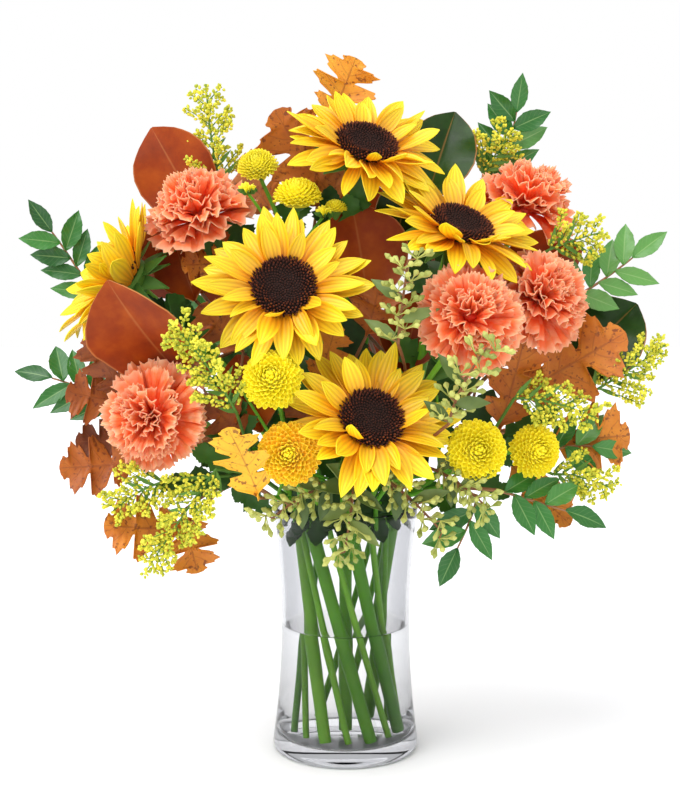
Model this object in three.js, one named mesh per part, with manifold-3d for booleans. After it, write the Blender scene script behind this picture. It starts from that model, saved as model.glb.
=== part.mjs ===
// An autumn bouquet of sunflowers, carnations, button chrysanthemums, goldenrod and leafy sprays,
// standing in a clear waisted glass vase of water. Millimetres, +Z up. The origin is the centre of
// the vase's flat underside, +X is to the right of the bouquet's front and +Y is behind it.
import * as THREE from 'three';
import { mergeVertices } from 'three/addons/utils/BufferGeometryUtils.js';
import Module from 'manifold-3d';

const wasm = await Module();
wasm.setup();

// ---------- driving dimensions ----------
const GAP = 0.35; // clearance left between two pieces that touch
const SLIVER = 0.08; // edges shorter than this, left by a cut, are closed up
const VASE = { height: 203, waist: 52.6, waistZ: 105, wall: 3, floor: 12, foot: 6 };
const FLARE = { foot: 7.4, rim: 6.8 }; // how much wider than the waist the vase is there
const WATER_LEVEL = 104;
const VASE_SIDES = 20;

const RIM_Z = VASE.height + 3;
const STEM_END_Z = VASE.floor + 2.2;
const RING_RADIUS = 41; // flower stems cross the rim and the floor on this circle
const RING_SLOTS = 14;
const RING_TWIST = 80; // degrees that a stem turns round the vase between floor and rim
const RING_START = -244; // slot 0, at the rim
const SPRAY_START_Z = 176; // short sprays end in the neck

// ---------- the layout: places and facings of every flower ----------
const SUNFLOWERS = [
  { name: 'sunflower_top', at: [16, -4, 492], faces: [0.22, -0.59, 0.78], slot: 'centre', seed: 11 },
  { name: 'sunflower_right', at: [90, -28, 428], faces: [0.28, -0.5, 0.82], slot: 9, seed: 12 },
  { name: 'sunflower_middle', at: [-47, -70, 382], faces: [0, -0.87, 0.49], slot: 4, seed: 13 },
  { name: 'sunflower_low', at: [19, -90, 284], faces: [0.22, -0.77, 0.6], slot: 6, seed: 14 },
  { name: 'sunflower_left', at: [-180, -6, 389], faces: [-0.7, -0.39, 0.6], slot: 2, seed: 15 },
];
const CARNATIONS = [
  { name: 'carnation_1', at: [-118, -6, 442], faces: [-0.3, -0.45, 0.84], slot: 0, seed: 21 },
  { name: 'carnation_2', at: [-148, -70, 284], faces: [-0.35, -0.92, 0.15], slot: 3, seed: 22 },
  { name: 'carnation_3', at: [93, -80, 361], faces: [0.1, -0.9, 0.42], slot: 7, seed: 23 },
  { name: 'carnation_4', at: [154, -30, 374], faces: [0.45, -0.7, 0.55], slot: 10, seed: 24 },
  { name: 'carnation_5', at: [150, 34, 451], faces: [0.35, -0.3, 0.89], slot: 11, seed: 25 },
];
const POM_SPRAYS = [
  {
    name: 'pom_spray_top',
    slot: 1,
    fork: [-42, 8, 405],
    heads: [
      { name: 'pom_1', at: [-70, 2, 476], faces: [-0.1, -0.6, 0.79], radius: 17 },
      { name: 'pom_2', at: [-38, -12, 452], faces: [0, -0.3, 0.95], radius: 20 },
      { name: 'pom_3', at: [-8, -6, 443], faces: [0.1, -0.2, 0.97], radius: 9.5 },
    ],
    buds: [
      [-77, -22, 455],
      [-17, -20, 437],
    ],
    leaves: [
      { base: [-66, 2, 392], tip: [-120, 0, 418], width: 14, face: [-0.1, -0.95, 0.3] },
    ],
  },
  {
    name: 'pom_spray_middle',
    slot: 5,
    fork: [-44, -50, 244],
    heads: [
      { name: 'pom_4', at: [-55, -97, 316], faces: [-0.1, -0.9, 0.42], radius: 24 },
      { name: 'pom_5', at: [-42, -98, 260], faces: [-0.1, -0.99, 0.1], radius: 25 },
    ],
    buds: [],
    leaves: [
      { base: [-79, -56, 242], tip: [-122, -60, 257], width: 13, face: [-0.1, -0.9, 0.4] },
      { base: [-81, -52, 234], tip: [-145, -54, 225], width: 14, face: [-0.1, -0.9, 0.4] },
    ],
  },
  {
    name: 'pom_spray_right',
    slot: 8,
    fork: [74, -45, 236],
    heads: [
      { name: 'pom_6', at: [99, -83, 260], faces: [0.15, -0.97, 0.2], radius: 24.5 },
      { name: 'pom_7', at: [146, -58, 256], faces: [0.4, -0.9, 0.15], radius: 22 },
    ],
    buds: [],
    leaves: [
      { base: [98, -40, 236], tip: [128, -44, 215], width: 13, face: [0.2, -0.9, 0.3] },
      { base: [122, -30, 260], tip: [169, -30, 286], width: 14, face: [0.1, -0.9, 0.3] },
    ],
  },
];

// Leafy and flowering sprays. `neck` is the radius and bearing where the spray leaves the vase, `fork`
// the point where its limbs part, and each limb's points run from its lowest shown end to its tip.
const INNER = 23;
const OUTER = 50.3;
const HUCKLEBERRY = [
  {
    name: 'huckleberry_left',
    neck: [INNER, 178],
    fork: [-95, 25, 292],
    limbs: [
      [[-210, 66, 366], [-230, 66, 398], [-247, 62, 424]],
      [[-186, 8, 284], [-215, 10, 297], [-240, 14, 305]],
    ],
  },
  {
    name: 'huckleberry_top',
    neck: [INNER, 50],
    fork: [82, 62, 350],
    limbs: [[[128, 80, 459], [139, 78, 499], [144, 74, 524]]],
  },
  {
    name: 'huckleberry_right',
    neck: [INNER, 10],
    fork: [100, 20, 290],
    limbs: [
      [[179, 12, 367], [207, 14, 384], [233, 16, 403]],
      [[161, -16, 249], [181, -20, 254], [197, -22, 254]],
    ],
  },
  {
    name: 'huckleberry_front',
    neck: [OUTER, -42],
    fork: [76, -56, 228],
    limbs: [
      [[102, -62, 221], [96, -66, 203], [86, -72, 182]],
      [[118, -58, 225], [143, -62, 218], [170, -64, 210]],
    ],
  },
  {
    name: 'huckleberry_back',
    face: [0, 1, 0.4],
    neck: [OUTER, 92],
    fork: [-5, 72, 262],
    limbs: [
      [[48, 100, 318], [72, 118, 352], [96, 128, 384]],
      [[-58, 98, 300], [-88, 114, 326], [-120, 122, 352]],
    ],
  },
];
const OAK = [
  {
    name: 'oak_left',
    neck: [INNER, -160],
    fork: [-92, -6, 262],
    leaves: [
      { base: [-178, -12, 293], tip: [-205, -14, 344], width: 21, face: [-0.2, -0.95, 0.2] },
      { base: [-176, -6, 286], tip: [-225, -10, 296], width: 24, face: [-0.1, -0.95, 0.25] },
      { base: [-169, 0, 255], tip: [-219, -4, 255], width: 20, face: [-0.1, -0.95, 0.2] },
      { base: [-166, -10, 239], tip: [-230, -14, 233], width: 26, face: [-0.1, -0.9, 0.35] },
      { base: [-81, -22, 330], tip: [-117, -26, 367], width: 22, face: [-0.1, -0.95, 0.2] },
      { base: [-79, -34, 261], tip: [-111, -38, 295], width: 22, face: [-0.1, -0.95, 0.2] },
      { base: [-118, 40, 292], tip: [-166, 86, 318], width: 34, face: [-0.5, 0.4, 0.75] },
      { base: [-96, 48, 250], tip: [-140, 92, 232], width: 32, face: [-0.4, 0.6, 0.7] },
    ],
  },
  {
    name: 'oak_front',
    neck: [OUTER, -142],
    fork: [-56, -62, 220],
    leaves: [
      { base: [-124, -58, 194], tip: [-188, -62, 195], width: 28, face: [-0.1, -0.85, 0.5] },
      { base: [-128, -52, 207], tip: [-116, -58, 159], width: 23, face: [0.1, -0.9, 0.3] },
      { base: [-65, -92, 225], tip: [-85, -104, 285], width: 25, face: [-0.3, -0.92, -0.2] },
    ],
  },
  {
    name: 'oak_top',
    neck: [INNER, 118],
    fork: [-30, 30, 400],
    leaves: [
      { base: [-13, 60, 515], tip: [10, 52, 567], width: 29, face: [0.1, -0.9, 0.4] },
      { base: [-3, 36, 440], tip: [-61, 36, 521], width: 35, face: [0.1, -0.95, 0.2] },
      { base: [-92, -6, 400], tip: [-131, -12, 396], width: 20, face: [-0.1, -0.95, 0.3] },
      { base: [-60, 60, 440], tip: [-98, 88, 486], width: 28, face: [-0.3, 0.6, 0.6] },
    ],
  },
  {
    name: 'oak_centre',
    neck: [INNER, -85],
    fork: [4, -28, 318],
    leaves: [
      { base: [16, -34, 343], tip: [28, -44, 384], width: 24, face: [-0.2, -0.95, 0.2] },
      { base: [-23, -44, 305], tip: [-4, -46, 355], width: 21, face: [-0.2, -0.9, 0.35] },
      { base: [-19, -34, 251], tip: [-39, -36, 299], width: 21, face: [-0.2, -0.95, 0.2] },
    ],
  },
  {
    name: 'oak_right',
    neck: [INNER, -22],
    fork: [98, -12, 270],
    leaves: [
      { base: [120, -40, 267], tip: [143, -34, 346], width: 26, face: [-0.2, -0.95, 0.2] },
      { base: [130, -16, 291], tip: [224, -8, 341], width: 36, face: [0.1, -0.9, 0.4] },
      { base: [163, -12, 258], tip: [228, -14, 260], width: 31, face: [0.2, -0.9, 0.3] },
      { base: [128, -26, 244], tip: [177, -30, 191], width: 21, face: [0.2, -0.95, 0.1] },
      { base: [112, 54, 300], tip: [158, 96, 322], width: 32, face: [0.4, 0.5, 0.75] },
      { base: [98, 60, 256], tip: [140, 100, 232], width: 32, face: [0.4, 0.6, 0.7] },
    ],
  },
];
const MAGNOLIA = [
  {
    name: 'magnolia_left',
    neck: [INNER, 150],
    fork: [-84, 24, 330],
    leaves: [
      { base: [-129, -34, 313], tip: [-179, -104, 376], width: 42, face: [-0.2, -0.8, -0.5] },
      { base: [-114, 40, 430], tip: [-162, 36, 510], width: 34, face: [-0.2, -0.95, 0.2] },
      { base: [-121, 4, 369], tip: [-141, 6, 421], width: 24, face: [-0.1, -0.95, 0.2] },
      { base: [-67, -8, 265], tip: [-88, -12, 326], width: 26, face: [-0.1, -0.95, 0.2] },
      { base: [-70, 70, 350], tip: [-122, 104, 424], width: 33, face: [-0.3, 0.85, 0.3] },
      { base: [-120, 52, 372], tip: [-190, 62, 420], width: 31, face: [-0.3, 0.8, 0.5] },
    ],
  },
  {
    name: 'magnolia_middle',
    neck: [INNER, 84],
    fork: [18, 34, 340],
    leaves: [
      { base: [18, 4, 365], tip: [8, -8, 448], width: 38, face: [0.2, -0.95, 0.2] },
      { base: [38, 24, 400], tip: [54, 34, 473], width: 23, face: [0.1, -0.95, 0.2] },
      { base: [45, -6, 312], tip: [61, -10, 378], width: 28, face: [0, -0.95, 0.2] },
      { base: [14, 76, 380], tip: [8, 92, 474], width: 34, face: [0, 0.95, 0.2] },
      { base: [-32, 92, 290], tip: [-56, 128, 372], width: 32, face: [-0.1, 0.9, 0.4] },
      { base: [40, 92, 282], tip: [58, 130, 358], width: 32, face: [0.1, 0.9, 0.4] },
    ],
  },
  {
    name: 'magnolia_right',
    neck: [INNER, 26],
    fork: [84, 28, 318],
    leaves: [
      { base: [67, 58, 447], tip: [91, 62, 527], width: 30, face: [-0.1, -0.95, 0.2] },
      { base: [173, 10, 299], tip: [238, 16, 371], width: 36, face: [0.1, -0.8, 0.6] },
      { base: [66, 80, 352], tip: [108, 106, 430], width: 33, face: [0.3, 0.85, 0.3] },
      { base: [128, 56, 372], tip: [196, 66, 416], width: 30, face: [0.3, 0.8, 0.5] },
    ],
  },
];
const GOLDENROD = [
  {
    name: 'goldenrod_top',
    neck: [INNER, 136],
    fork: [-58, 36, 370],
    limbs: [[[-101, 32, 458], [-109, 31, 498], [-113, 28, 543]]],
  },
  {
    name: 'goldenrod_left',
    neck: [OUTER, -164],
    fork: [-70, -46, 236],
    limbs: [
      [[-82, -92, 290], [-104, -106, 329], [-130, -110, 359]],
      [[-99, -80, 245], [-126, -84, 207], [-155, -78, 163]],
      [[-137, -66, 234], [-160, -68, 225], [-181, -66, 209]],
    ],
  },
  {
    name: 'goldenrod_back',
    neck: [INNER, 36],
    fork: [96, 30, 372],
    limbs: [
      [[116, 66, 472], [127, 64, 490], [141, 62, 509]],
      [[164, 2, 410], [184, -2, 418], [205, -4, 424]],
    ],
  },
  {
    name: 'goldenrod_right',
    neck: [OUTER, -12],
    fork: [110, -30, 256],
    limbs: [
      [[197, -16, 297], [228, -16, 316], [255, -15, 335]],
      [[130, -58, 297], [162, -60, 293], [196, -56, 280]],
      [[164, -38, 234], [186, -40, 232], [212, -40, 222]],
    ],
  },
];
const EUCALYPTUS = [
  {
    name: 'eucalyptus_front',
    neck: [OUTER, -88],
    fork: [14, -64, 232],
    limbs: [
      [[-11, -74, 233], [-33, -80, 224], [-56, -84, 208]],
      [[6, -74, 230], [3, -80, 206], [-1, -80, 181]],
      [[29, -74, 237], [50, -84, 222], [73, -88, 198]],
    ],
    leaves: [
      { tip: [20, -84, 242], width: 9 },
      { tip: [-28, -82, 228], width: 8 },
      { tip: [-21, -86, 249], width: 8 },
    ],
  },
  {
    name: 'eucalyptus_right',
    neck: [OUTER, -62],
    fork: [46, -62, 250],
    limbs: [
      [[39, -86, 341], [42, -92, 373], [46, -96, 404]],
      [[76, -104, 283], [85, -114, 312], [102, -120, 341]],
      [[69, -72, 243], [87, -84, 234], [104, -90, 220]],
    ],
    leaves: [
      { tip: [47, -80, 251], width: 9 },
      { tip: [65, -70, 235], width: 8 },
    ],
  },
];

// ---------- colours ----------
function coat(color, roughness, extra = {}) {
  return () => new THREE.MeshStandardMaterial({ color, roughness, metalness: 0, ...extra });
}
const COATS = {
  glass: coat(0xdfe6ee, 0.05, { transparent: true, opacity: 0.35 }),
  water: coat(0xe4eaf0, 0.05, { transparent: true, opacity: 0.35 }),
  rays: coat(0xfcc91a, 0.55),
  disc: coat(0x2e140c, 0.9),
  stem: coat(0x4e8b2a, 0.55),
  carnation: coat(0xf8714a, 0.7),
  pom: coat(0xf0c41a, 0.7),
  oak: coat(0xb2591c, 0.6),
  magnolia: coat(0x96401c, 0.6),
  goldenrod: coat(0xcfc93a, 0.8),
  eucalyptus: coat(0x9aa653, 0.7),
  huckleberry: coat(0x256f2c, 0.45),
};

// ---------- small tools ----------
function randomFrom(seed) {
  let state = seed * 7919 + 17;
  return (low = 0, high = 1) => {
    state = (state * 48271) % 2147483647;
    return low + (high - low) * (state / 2147483647);
  };
}

const UP = new THREE.Vector3(0, 0, 1);
const radians = THREE.MathUtils.degToRad;
const vec = (point) => new THREE.Vector3(...point);
const polar = (radius, bearing, z) =>
  new THREE.Vector3(radius * Math.cos(radians(bearing)), radius * Math.sin(radians(bearing)), z);

function solidOf(geometry) {
  geometry.deleteAttribute('normal');
  geometry.deleteAttribute('uv');
  const merged = mergeVertices(geometry, 1e-4);
  const corners = merged.index.array;
  const triangles = [];
  for (let i = 0; i < corners.length; i += 3) {
    const [a, b, c] = [corners[i], corners[i + 1], corners[i + 2]];
    if (a !== b && b !== c && c !== a) triangles.push(a, b, c);
  }
  return new wasm.Manifold(
    new wasm.Mesh({
      numProp: 3,
      vertProperties: Float32Array.from(merged.attributes.position.array),
      triVerts: Uint32Array.from(triangles),
    }),
  );
}

const join = (solids) => solids.reduce((whole, solid) => whole.add(solid));
const cut = (solid, tools) => tools.reduce((rest, tool) => rest.subtract(tool), solid);

// The body of a cut solid that holds the most material; loose scraps are dropped.
function largestBody(solid) {
  const bodies = solid.decompose().sort((a, b) => b.volume() - a.volume());
  return bodies[0].simplify(SLIVER);
}

function boxesMeet(a, b) {
  const [p, q] = [a.boundingBox(), b.boundingBox()];
  return [0, 1, 2].every((k) => p.min[k] < q.max[k] && q.min[k] < p.max[k]);
}

const meeting = (solid, tools) => tools.filter((tool) => boxesMeet(solid, tool));

function geometryOf(solid, anchor) {
  const { vertProperties, triVerts } = solid.getMesh();
  const geometry = new THREE.BufferGeometry();
  geometry.setAttribute('position', new THREE.BufferAttribute(new Float32Array(vertProperties), 3));
  geometry.setIndex(new THREE.BufferAttribute(new Uint32Array(triVerts), 1));
  geometry.translate(-anchor.x, -anchor.y, -anchor.z);
  geometry.computeVertexNormals();
  return geometry;
}

// A shape turned about +Z; the profile is a list of [radius, z].
function turned(profile, sides) {
  const points = profile.map(([radius, z]) => new THREE.Vector2(radius, z));
  return new THREE.LatheGeometry(points, sides).rotateX(Math.PI / 2);
}

// Moves every vertex of a geometry by a formula.
function reshape(geometry, move) {
  const position = geometry.attributes.position;
  const point = new THREE.Vector3();
  for (let i = 0; i < position.count; i++) {
    move(point.fromBufferAttribute(position, i));
    position.setXYZ(i, point.x, point.y, point.z);
  }
  return geometry;
}

// The placement that turns local +Z to `facing`, with local +Y as near to straight up as it can be.
function facingFrame(at, facing) {
  const z = vec(facing).normalize();
  const x = UP.clone().cross(z).normalize();
  const y = z.clone().cross(x);
  return new THREE.Matrix4().makeBasis(x, y, z).setPosition(vec(at));
}

// The placement of a blade that grows from `base` along `along` (local +Y) with its face to `face`.
function growthFrame(base, along, face) {
  const y = along.clone().normalize();
  const x = y.clone().cross(face).normalize();
  const z = x.clone().cross(y);
  return new THREE.Matrix4().makeBasis(x, y, z).setPosition(base);
}

// A thin blade along +Y with its face up. `halfWidth` is a formula of the place along the blade, 0 to 1;
// `fold` lifts its sides, and `bend` is the angle by which it curls towards its face.
function blade({ length, halfWidth, thickness, rows, columns = 1, bend, fold = 0 }, grow = 0) {
  const geometry = new THREE.BoxGeometry(1, 1, 1, columns, rows, 1);
  splitFacesAlike(geometry);
  return reshape(geometry, (point) => {
    const [u, v, side] = [point.x * 2, point.y + 0.5, point.z * 2];
    const half = halfWidth(v) + grow;
    const angle = bend * (v + (grow * (2 * v - 1)) / length);
    const lift = fold * Math.abs(u) * half + side * (thickness / 2 + grow);
    const radius = length / bend;
    point.x = u * half;
    point.y = Math.sin(angle) * (radius - lift);
    point.z = radius - Math.cos(angle) * (radius - lift);
  });
}

// Turns the diagonals of a box's last face, so that both faces of a blade are split alike.
function splitFacesAlike(geometry) {
  const { start, count } = geometry.groups[5];
  const corners = geometry.index.array;
  for (let i = start; i < start + count; i += 6) {
    const [a, b, d, , c] = corners.slice(i, i + 6);
    corners.set([a, b, c, a, c, d], i);
  }
}

// A thin flat plate cut to an outline, with a round hole if `hole` says its radius and corners.
function plate(outline, thickness, hole) {
  const shape = new THREE.Shape(outline);
  if (hole) shape.holes.push(new THREE.Path(circlePoints(hole.radius, hole.corners)));
  const geometry = new THREE.ExtrudeGeometry(shape, { depth: thickness, bevelEnabled: false, steps: 1 });
  return geometry.translate(0, 0, -thickness / 2);
}

function circlePoints(radius, corners) {
  return Array.from({ length: corners }, (_, k) => {
    const angle = (k * 2 * Math.PI) / corners;
    return new THREE.Vector2(radius * Math.cos(angle), radius * Math.sin(angle));
  });
}

// A layer of petals cut from one plate. `edge` lists each petal's outline as [turn, reach]: the share
// of its pitch to either side and the share of the way from `root` to `root + length`.
function petalLayer({ count, root, length, edge, thickness, turn = 0 }, random, lift) {
  const pitch = (2 * Math.PI) / count;
  const outline = [];
  const petals = [];
  for (let k = 0; k < count; k++) {
    petals.push({ reach: random(0.9, 1.06), sway: random(-0.05, 0.05), tilt: random(-1, 1) });
    for (const [side, share] of edge) {
      const radius = root + length * share * petals[k].reach;
      const angle = (k + side + petals[k].sway * share) * pitch;
      outline.push(new THREE.Vector2(radius * Math.cos(angle), radius * Math.sin(angle)));
    }
  }
  const layer = plate(outline, thickness, { radius: root * 0.72, corners: Math.ceil(count / 2) + 1 });
  reshape(layer, (point) => {
    const angle = Math.atan2(point.y, point.x);
    const reach = Math.hypot(point.x, point.y) - root;
    const petal = petals[(Math.round(angle / pitch) + count) % count];
    if (reach > 0.01) lift(point, reach / length, petal, angle);
  });
  return layer.rotateZ(turn);
}

// A curve that passes through its stations in even steps of its parameter.
class Route extends THREE.Curve {
  constructor(stations) {
    super();
    this.stations = stations;
  }

  getPoint(t, target = new THREE.Vector3()) {
    const place = t * (this.stations.length - 1);
    const index = Math.min(Math.floor(place), this.stations.length - 2);
    return target.copy(this.stations[index]).lerp(this.stations[index + 1], place - index);
  }

  getPointAt(t, target) {
    return this.getPoint(t, target);
  }

  getTangentAt(t, target = new THREE.Vector3()) {
    const step = 0.4 / (this.stations.length - 1);
    const ahead = this.getPoint(Math.min(t + step, 1));
    return target.copy(ahead).sub(this.getPoint(Math.max(t - step, 0))).normalize();
  }
}

function tube(stations, radius, sides) {
  const rim = circlePoints(radius, sides);
  const settings = { steps: stations.length - 1, extrudePath: new Route(stations), bevelEnabled: false };
  return solidOf(new THREE.ExtrudeGeometry(new THREE.Shape(rim), settings));
}

// ---------- the vase and its water ----------
function vaseRadius(z) {
  const low = (VASE.waistZ - z) / (VASE.waistZ - VASE.foot);
  const high = (z - VASE.waistZ) / (VASE.height - VASE.waistZ);
  return VASE.waist + (low > 0 ? FLARE.foot * low * low : FLARE.rim * high * high);
}

function vaseSolid() {
  const heights = [VASE.foot, 50, 105, 155, VASE.height];
  const outside = heights.map((z) => [vaseRadius(z), z]);
  const inside = heights.slice(1).reverse().map((z) => [vaseRadius(z) - VASE.wall, z]);
  const footRadius = vaseRadius(VASE.foot);
  const floorEdge = vaseRadius(VASE.floor + 5) - VASE.wall;
  return solidOf(
    turned(
      [
        [0, 0],
        [footRadius - 4.5, 0],
        [footRadius - 1.2, 2],
        ...outside,
        ...inside,
        [floorEdge, VASE.floor + 5],
        [floorEdge - 5, VASE.floor],
        [0, VASE.floor],
      ],
      VASE_SIDES,
    ),
  );
}

function waterSolid(stemSleeves) {
  const inset = VASE.wall + GAP;
  const floorEdge = vaseRadius(VASE.floor + 5) - inset - 0.2;
  const body = turned(
    [
      [0, VASE.floor + GAP],
      [floorEdge - 5, VASE.floor + GAP],
      [floorEdge, VASE.floor + 5 + GAP],
      [vaseRadius(50) - inset, 50],
      [vaseRadius(WATER_LEVEL) - inset, WATER_LEVEL],
      [0, WATER_LEVEL],
    ],
    VASE_SIDES,
  );
  return cut(solidOf(body), stemSleeves);
}

// ---------- flower heads, each about the origin and facing +Z ----------
const SUNFLOWER = {
  disc: 25,
  outer: {
    count: 16,
    root: 19,
    length: 49,
    thickness: 0.9,
    edge: [[-0.5, 0], [-0.36, 0.6], [0, 1], [0.36, 0.6]],
    seat: -3.4,
    rise: 0.05,
    stray: 0.13,
  },
  inner: {
    count: 9,
    root: 18,
    length: 36,
    thickness: 0.9,
    turn: 0.2,
    edge: [[-0.5, 0], [-0.26, 0.5], [0, 1], [0.26, 0.5]],
    seat: -2.6,
    rise: 0.4,
    stray: 0.1,
  },
  sepals: { count: 7, reach: 45, drop: 7 },
};

function sunflowerDisc(grow = 0) {
  const edge = SUNFLOWER.disc + grow;
  const sides = 16;
  const profile = [
    [0, -grow],
    [edge - 6, -grow],
    [edge, 3.5],
    [edge * 0.72, 8.4 + grow],
    [edge * 0.36, 6.4 + grow],
    [0, 5.6 + grow],
  ];
  const florets = (point) => {
    if (grow > 0 || point.z < 3) return;
    const reach = Math.hypot(point.x, point.y);
    const turn = Math.atan2(point.y, point.x) * (sides / 2);
    if (reach > 1) point.z += 0.8 * Math.cos(turn + reach * 0.9);
  };
  return solidOf(reshape(turned(profile, sides), florets));
}

function sunflowerRays(seed) {
  const random = randomFrom(seed);
  const layers = [SUNFLOWER.outer, SUNFLOWER.inner].map((form) => {
    const petals = petalLayer(form, random, (point, v, petal) => {
      point.z += form.length * v * (form.rise + form.stray * petal.tilt);
    });
    return solidOf(petals.translate(0, 0, form.seat));
  });
  return join(layers);
}

// The green cup behind a head; every other corner of its rim is drawn out into a pointed sepal.
function sunflowerCalyx(grow = 0) {
  const { count, reach, drop } = SUNFLOWER.sepals;
  const rim = 22 + grow;
  const low = -24 - grow;
  const profile = [
    [0, low],
    [6 + grow, low],
    [15 + grow, -15 - grow],
    [20 + grow, -9.5 - grow],
    [rim, -8],
    [20 + grow, -5 + grow],
    [0, -5 + grow],
  ];
  const cup = turned(profile, 2 * count);
  reshape(cup, (point) => {
    const corner = Math.round((Math.atan2(point.x, -point.y) * count) / Math.PI);
    if (Math.hypot(point.x, point.y) < rim - 0.1 || corner % 2) return;
    point.multiplyScalar((reach + grow) / rim);
    point.z = -8 - drop;
  });
  return solidOf(cup);
}

// The room that a whole open sunflower fills, which leaves and other petals keep out of.
function sunflowerRoom() {
  const profile = [[0, -27], [14, -25], [48, -20], [74, -12], [74, 12], [58, 23], [0, 13]];
  return solidOf(turned(profile, 9));
}

// Each petal has toothed lobes at its edge, as [turn, reach] shares.
const RUFFLE = [[-0.5, 0.25], [-0.34, 0.95], [0, 0.82], [0.34, 0.97]];
const CARNATION = {
  layers: [
    { count: 6, root: 10, length: 31, edge: RUFFLE, thickness: 1, rise: -6, slope: 0.1, turn: 0 },
    { count: 5, root: 8, length: 27, edge: RUFFLE, thickness: 1, rise: 0, slope: 0.55, turn: 0.5 },
    { count: 4, root: 5, length: 18, edge: RUFFLE, thickness: 1, rise: 6, slope: 1.1, turn: 0.9 },
  ],
  core: [[0, -15], [9, -14], [12, 0], [6, 10], [0, 10]],
};

function carnationBloom(seed) {
  const random = randomFrom(seed);
  const solids = [solidOf(turned(CARNATION.core, 5))];
  for (const layer of CARNATION.layers) {
    const petals = petalLayer(layer, random, (point, v, petal, angle) => {
      const ruffle = 2.6 * Math.cos(angle * layer.count * 2.5 + 1);
      point.z += layer.length * v * (layer.slope + 0.12 * petal.tilt) + ruffle * v;
    });
    solids.push(solidOf(petals.translate(0, 0, layer.rise)));
  }
  return join(solids);
}

function carnationCalyx(grow = 0) {
  const [low, top] = [-38 - grow, -18 + grow];
  return solidOf(turned([[0, low], [3.4 + grow, low], [6 + grow, -30], [8 + grow, top], [0, top]], 8));
}

function carnationRoom() {
  return solidOf(turned([[0, -20], [42, -16], [47, 0], [42, 20], [23, 37], [0, 37]], 8));
}

// A button head: a low dome covered with florets that stand up in offset rows.
function pomHead(radius) {
  const sides = 12;
  const rows = [[0, -0.3], [0.74, -0.36], [1, -0.02], [0.9, 0.32], [0.52, 0.57], [0, 0.64]];
  const profile = rows.map(([across, high]) => [across * radius, high * radius]);
  const florets = (point) => {
    const reach = Math.hypot(point.x, point.y);
    if (reach < 1) return;
    const row = profile.findIndex(([, high]) => Math.abs(high - point.z) < 0.01);
    const turn = Math.atan2(point.y, point.x) * (sides / 2) + row * Math.PI;
    point.multiplyScalar(1 + 0.11 * Math.cos(turn));
  };
  return solidOf(reshape(turned(profile, sides), florets));
}

function pomCalyx(radius, grow = 0) {
  const top = -0.42 * radius + grow;
  const low = top - 6 - grow;
  return solidOf(turned([[0, low], [2 + grow, low], [0.5 * radius + grow, top], [0, top]], 8));
}

function pomRoom(radius) {
  const r = radius * 1.14 + GAP;
  const profile = [[0, -0.42 * r], [0.78 * r, -0.42 * r], [1.04 * r, 0], [0.9 * r, 0.45 * r], [0, 0.7 * r]];
  return solidOf(turned(profile, 8));
}

// ---------- stems and twigs ----------
// A strand is a stem or twig as stations with a radius; `fixed` holds the stations that don't move.
const strands = [];
const fixed = new Set();
const heads = [];

function addStrand(owner, stations, radius, sides) {
  const strand = { owner, stations, radius, sides };
  strands.push(strand);
  return strand;
}

function between(a, b, share) {
  return a.clone().lerp(b, share);
}

// Stations on a smooth curve that leaves `start` along `lead` and comes to `end` along `arrive`.
function curveStations(start, lead, end, arrive, count) {
  const reach = start.distanceTo(end);
  const pull = Math.min(reach * 0.35, 70);
  const from = start.clone().addScaledVector(lead, reach * 0.35);
  const to = end.clone().addScaledVector(arrive, -pull);
  return new THREE.CubicBezierCurve3(start, from, to, end).getPoints(count).slice(1);
}

// A flower stem stands on the vase's floor, runs straight to the rim and then bends to its flower.
function slotStations(slot) {
  if (slot === 'centre') return [new THREE.Vector3(0, 0, STEM_END_Z), new THREE.Vector3(0, 0, RIM_Z)];
  const bearing = RING_START + (slot * 360) / RING_SLOTS;
  return [polar(RING_RADIUS, bearing + RING_TWIST, STEM_END_Z), polar(RING_RADIUS, bearing, RIM_Z)];
}

function flowerStem(owner, slot, end, arrive, radius, sides, count) {
  const [foot, rim] = slotStations(slot);
  const lead = rim.clone().sub(foot).normalize();
  fixed.add(foot).add(rim).add(end);
  return addStrand(owner, [foot, rim, ...curveStations(rim, lead, end, arrive, count)], radius, sides);
}

function behind(flower, depth) {
  return vec(flower.at).addScaledVector(vec(flower.faces).normalize(), -depth);
}

function sprayTrunk(spray, radius) {
  const [reach, bearing] = spray.neck;
  const start = polar(reach, bearing, SPRAY_START_Z);
  const rim = polar(reach, bearing, RIM_Z + 7);
  const fork = vec(spray.fork);
  fixed.add(start).add(rim);
  const stations = [start, rim, between(rim, fork, 0.35), between(rim, fork, 0.7), fork];
  addStrand(spray.name, stations, radius, 4);
  return fork;
}

// A limb runs on through its shown points where it carries separate capsules, and otherwise ends a
// little way inside the leaf, frond or plume that it carries.
function sprayLimb(owner, fork, shown, radius, whole = false) {
  const points = shown.map(vec);
  const into = points[1].clone().sub(points[0]).setLength(1.5).add(points[0]);
  const end = whole ? points : [into];
  end.forEach((point) => fixed.add(point));
  addStrand(owner, [fork, between(fork, points[0], 0.5), ...end], radius, 4);
  return points;
}

// The closest approach of two segments, as the share along each and the vector between them.
function closestApproach(a, b, c, d) {
  const [ab, cd, ac] = [b.clone().sub(a), d.clone().sub(c), a.clone().sub(c)];
  const [aa, ee, f] = [ab.dot(ab), cd.dot(cd), cd.dot(ac)];
  const [g, h] = [ab.dot(ac), ab.dot(cd)];
  const clamp = THREE.MathUtils.clamp;
  const spread = aa * ee - h * h;
  let s = spread > 1e-9 ? clamp((h * f - g * ee) / spread, 0, 1) : 0;
  const t = clamp((h * s + f) / ee, 0, 1);
  s = clamp((h * t - g) / aa, 0, 1);
  const apart = a.clone().lerp(b, s).sub(c.clone().lerp(d, t));
  return { s, t, apart };
}

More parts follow.
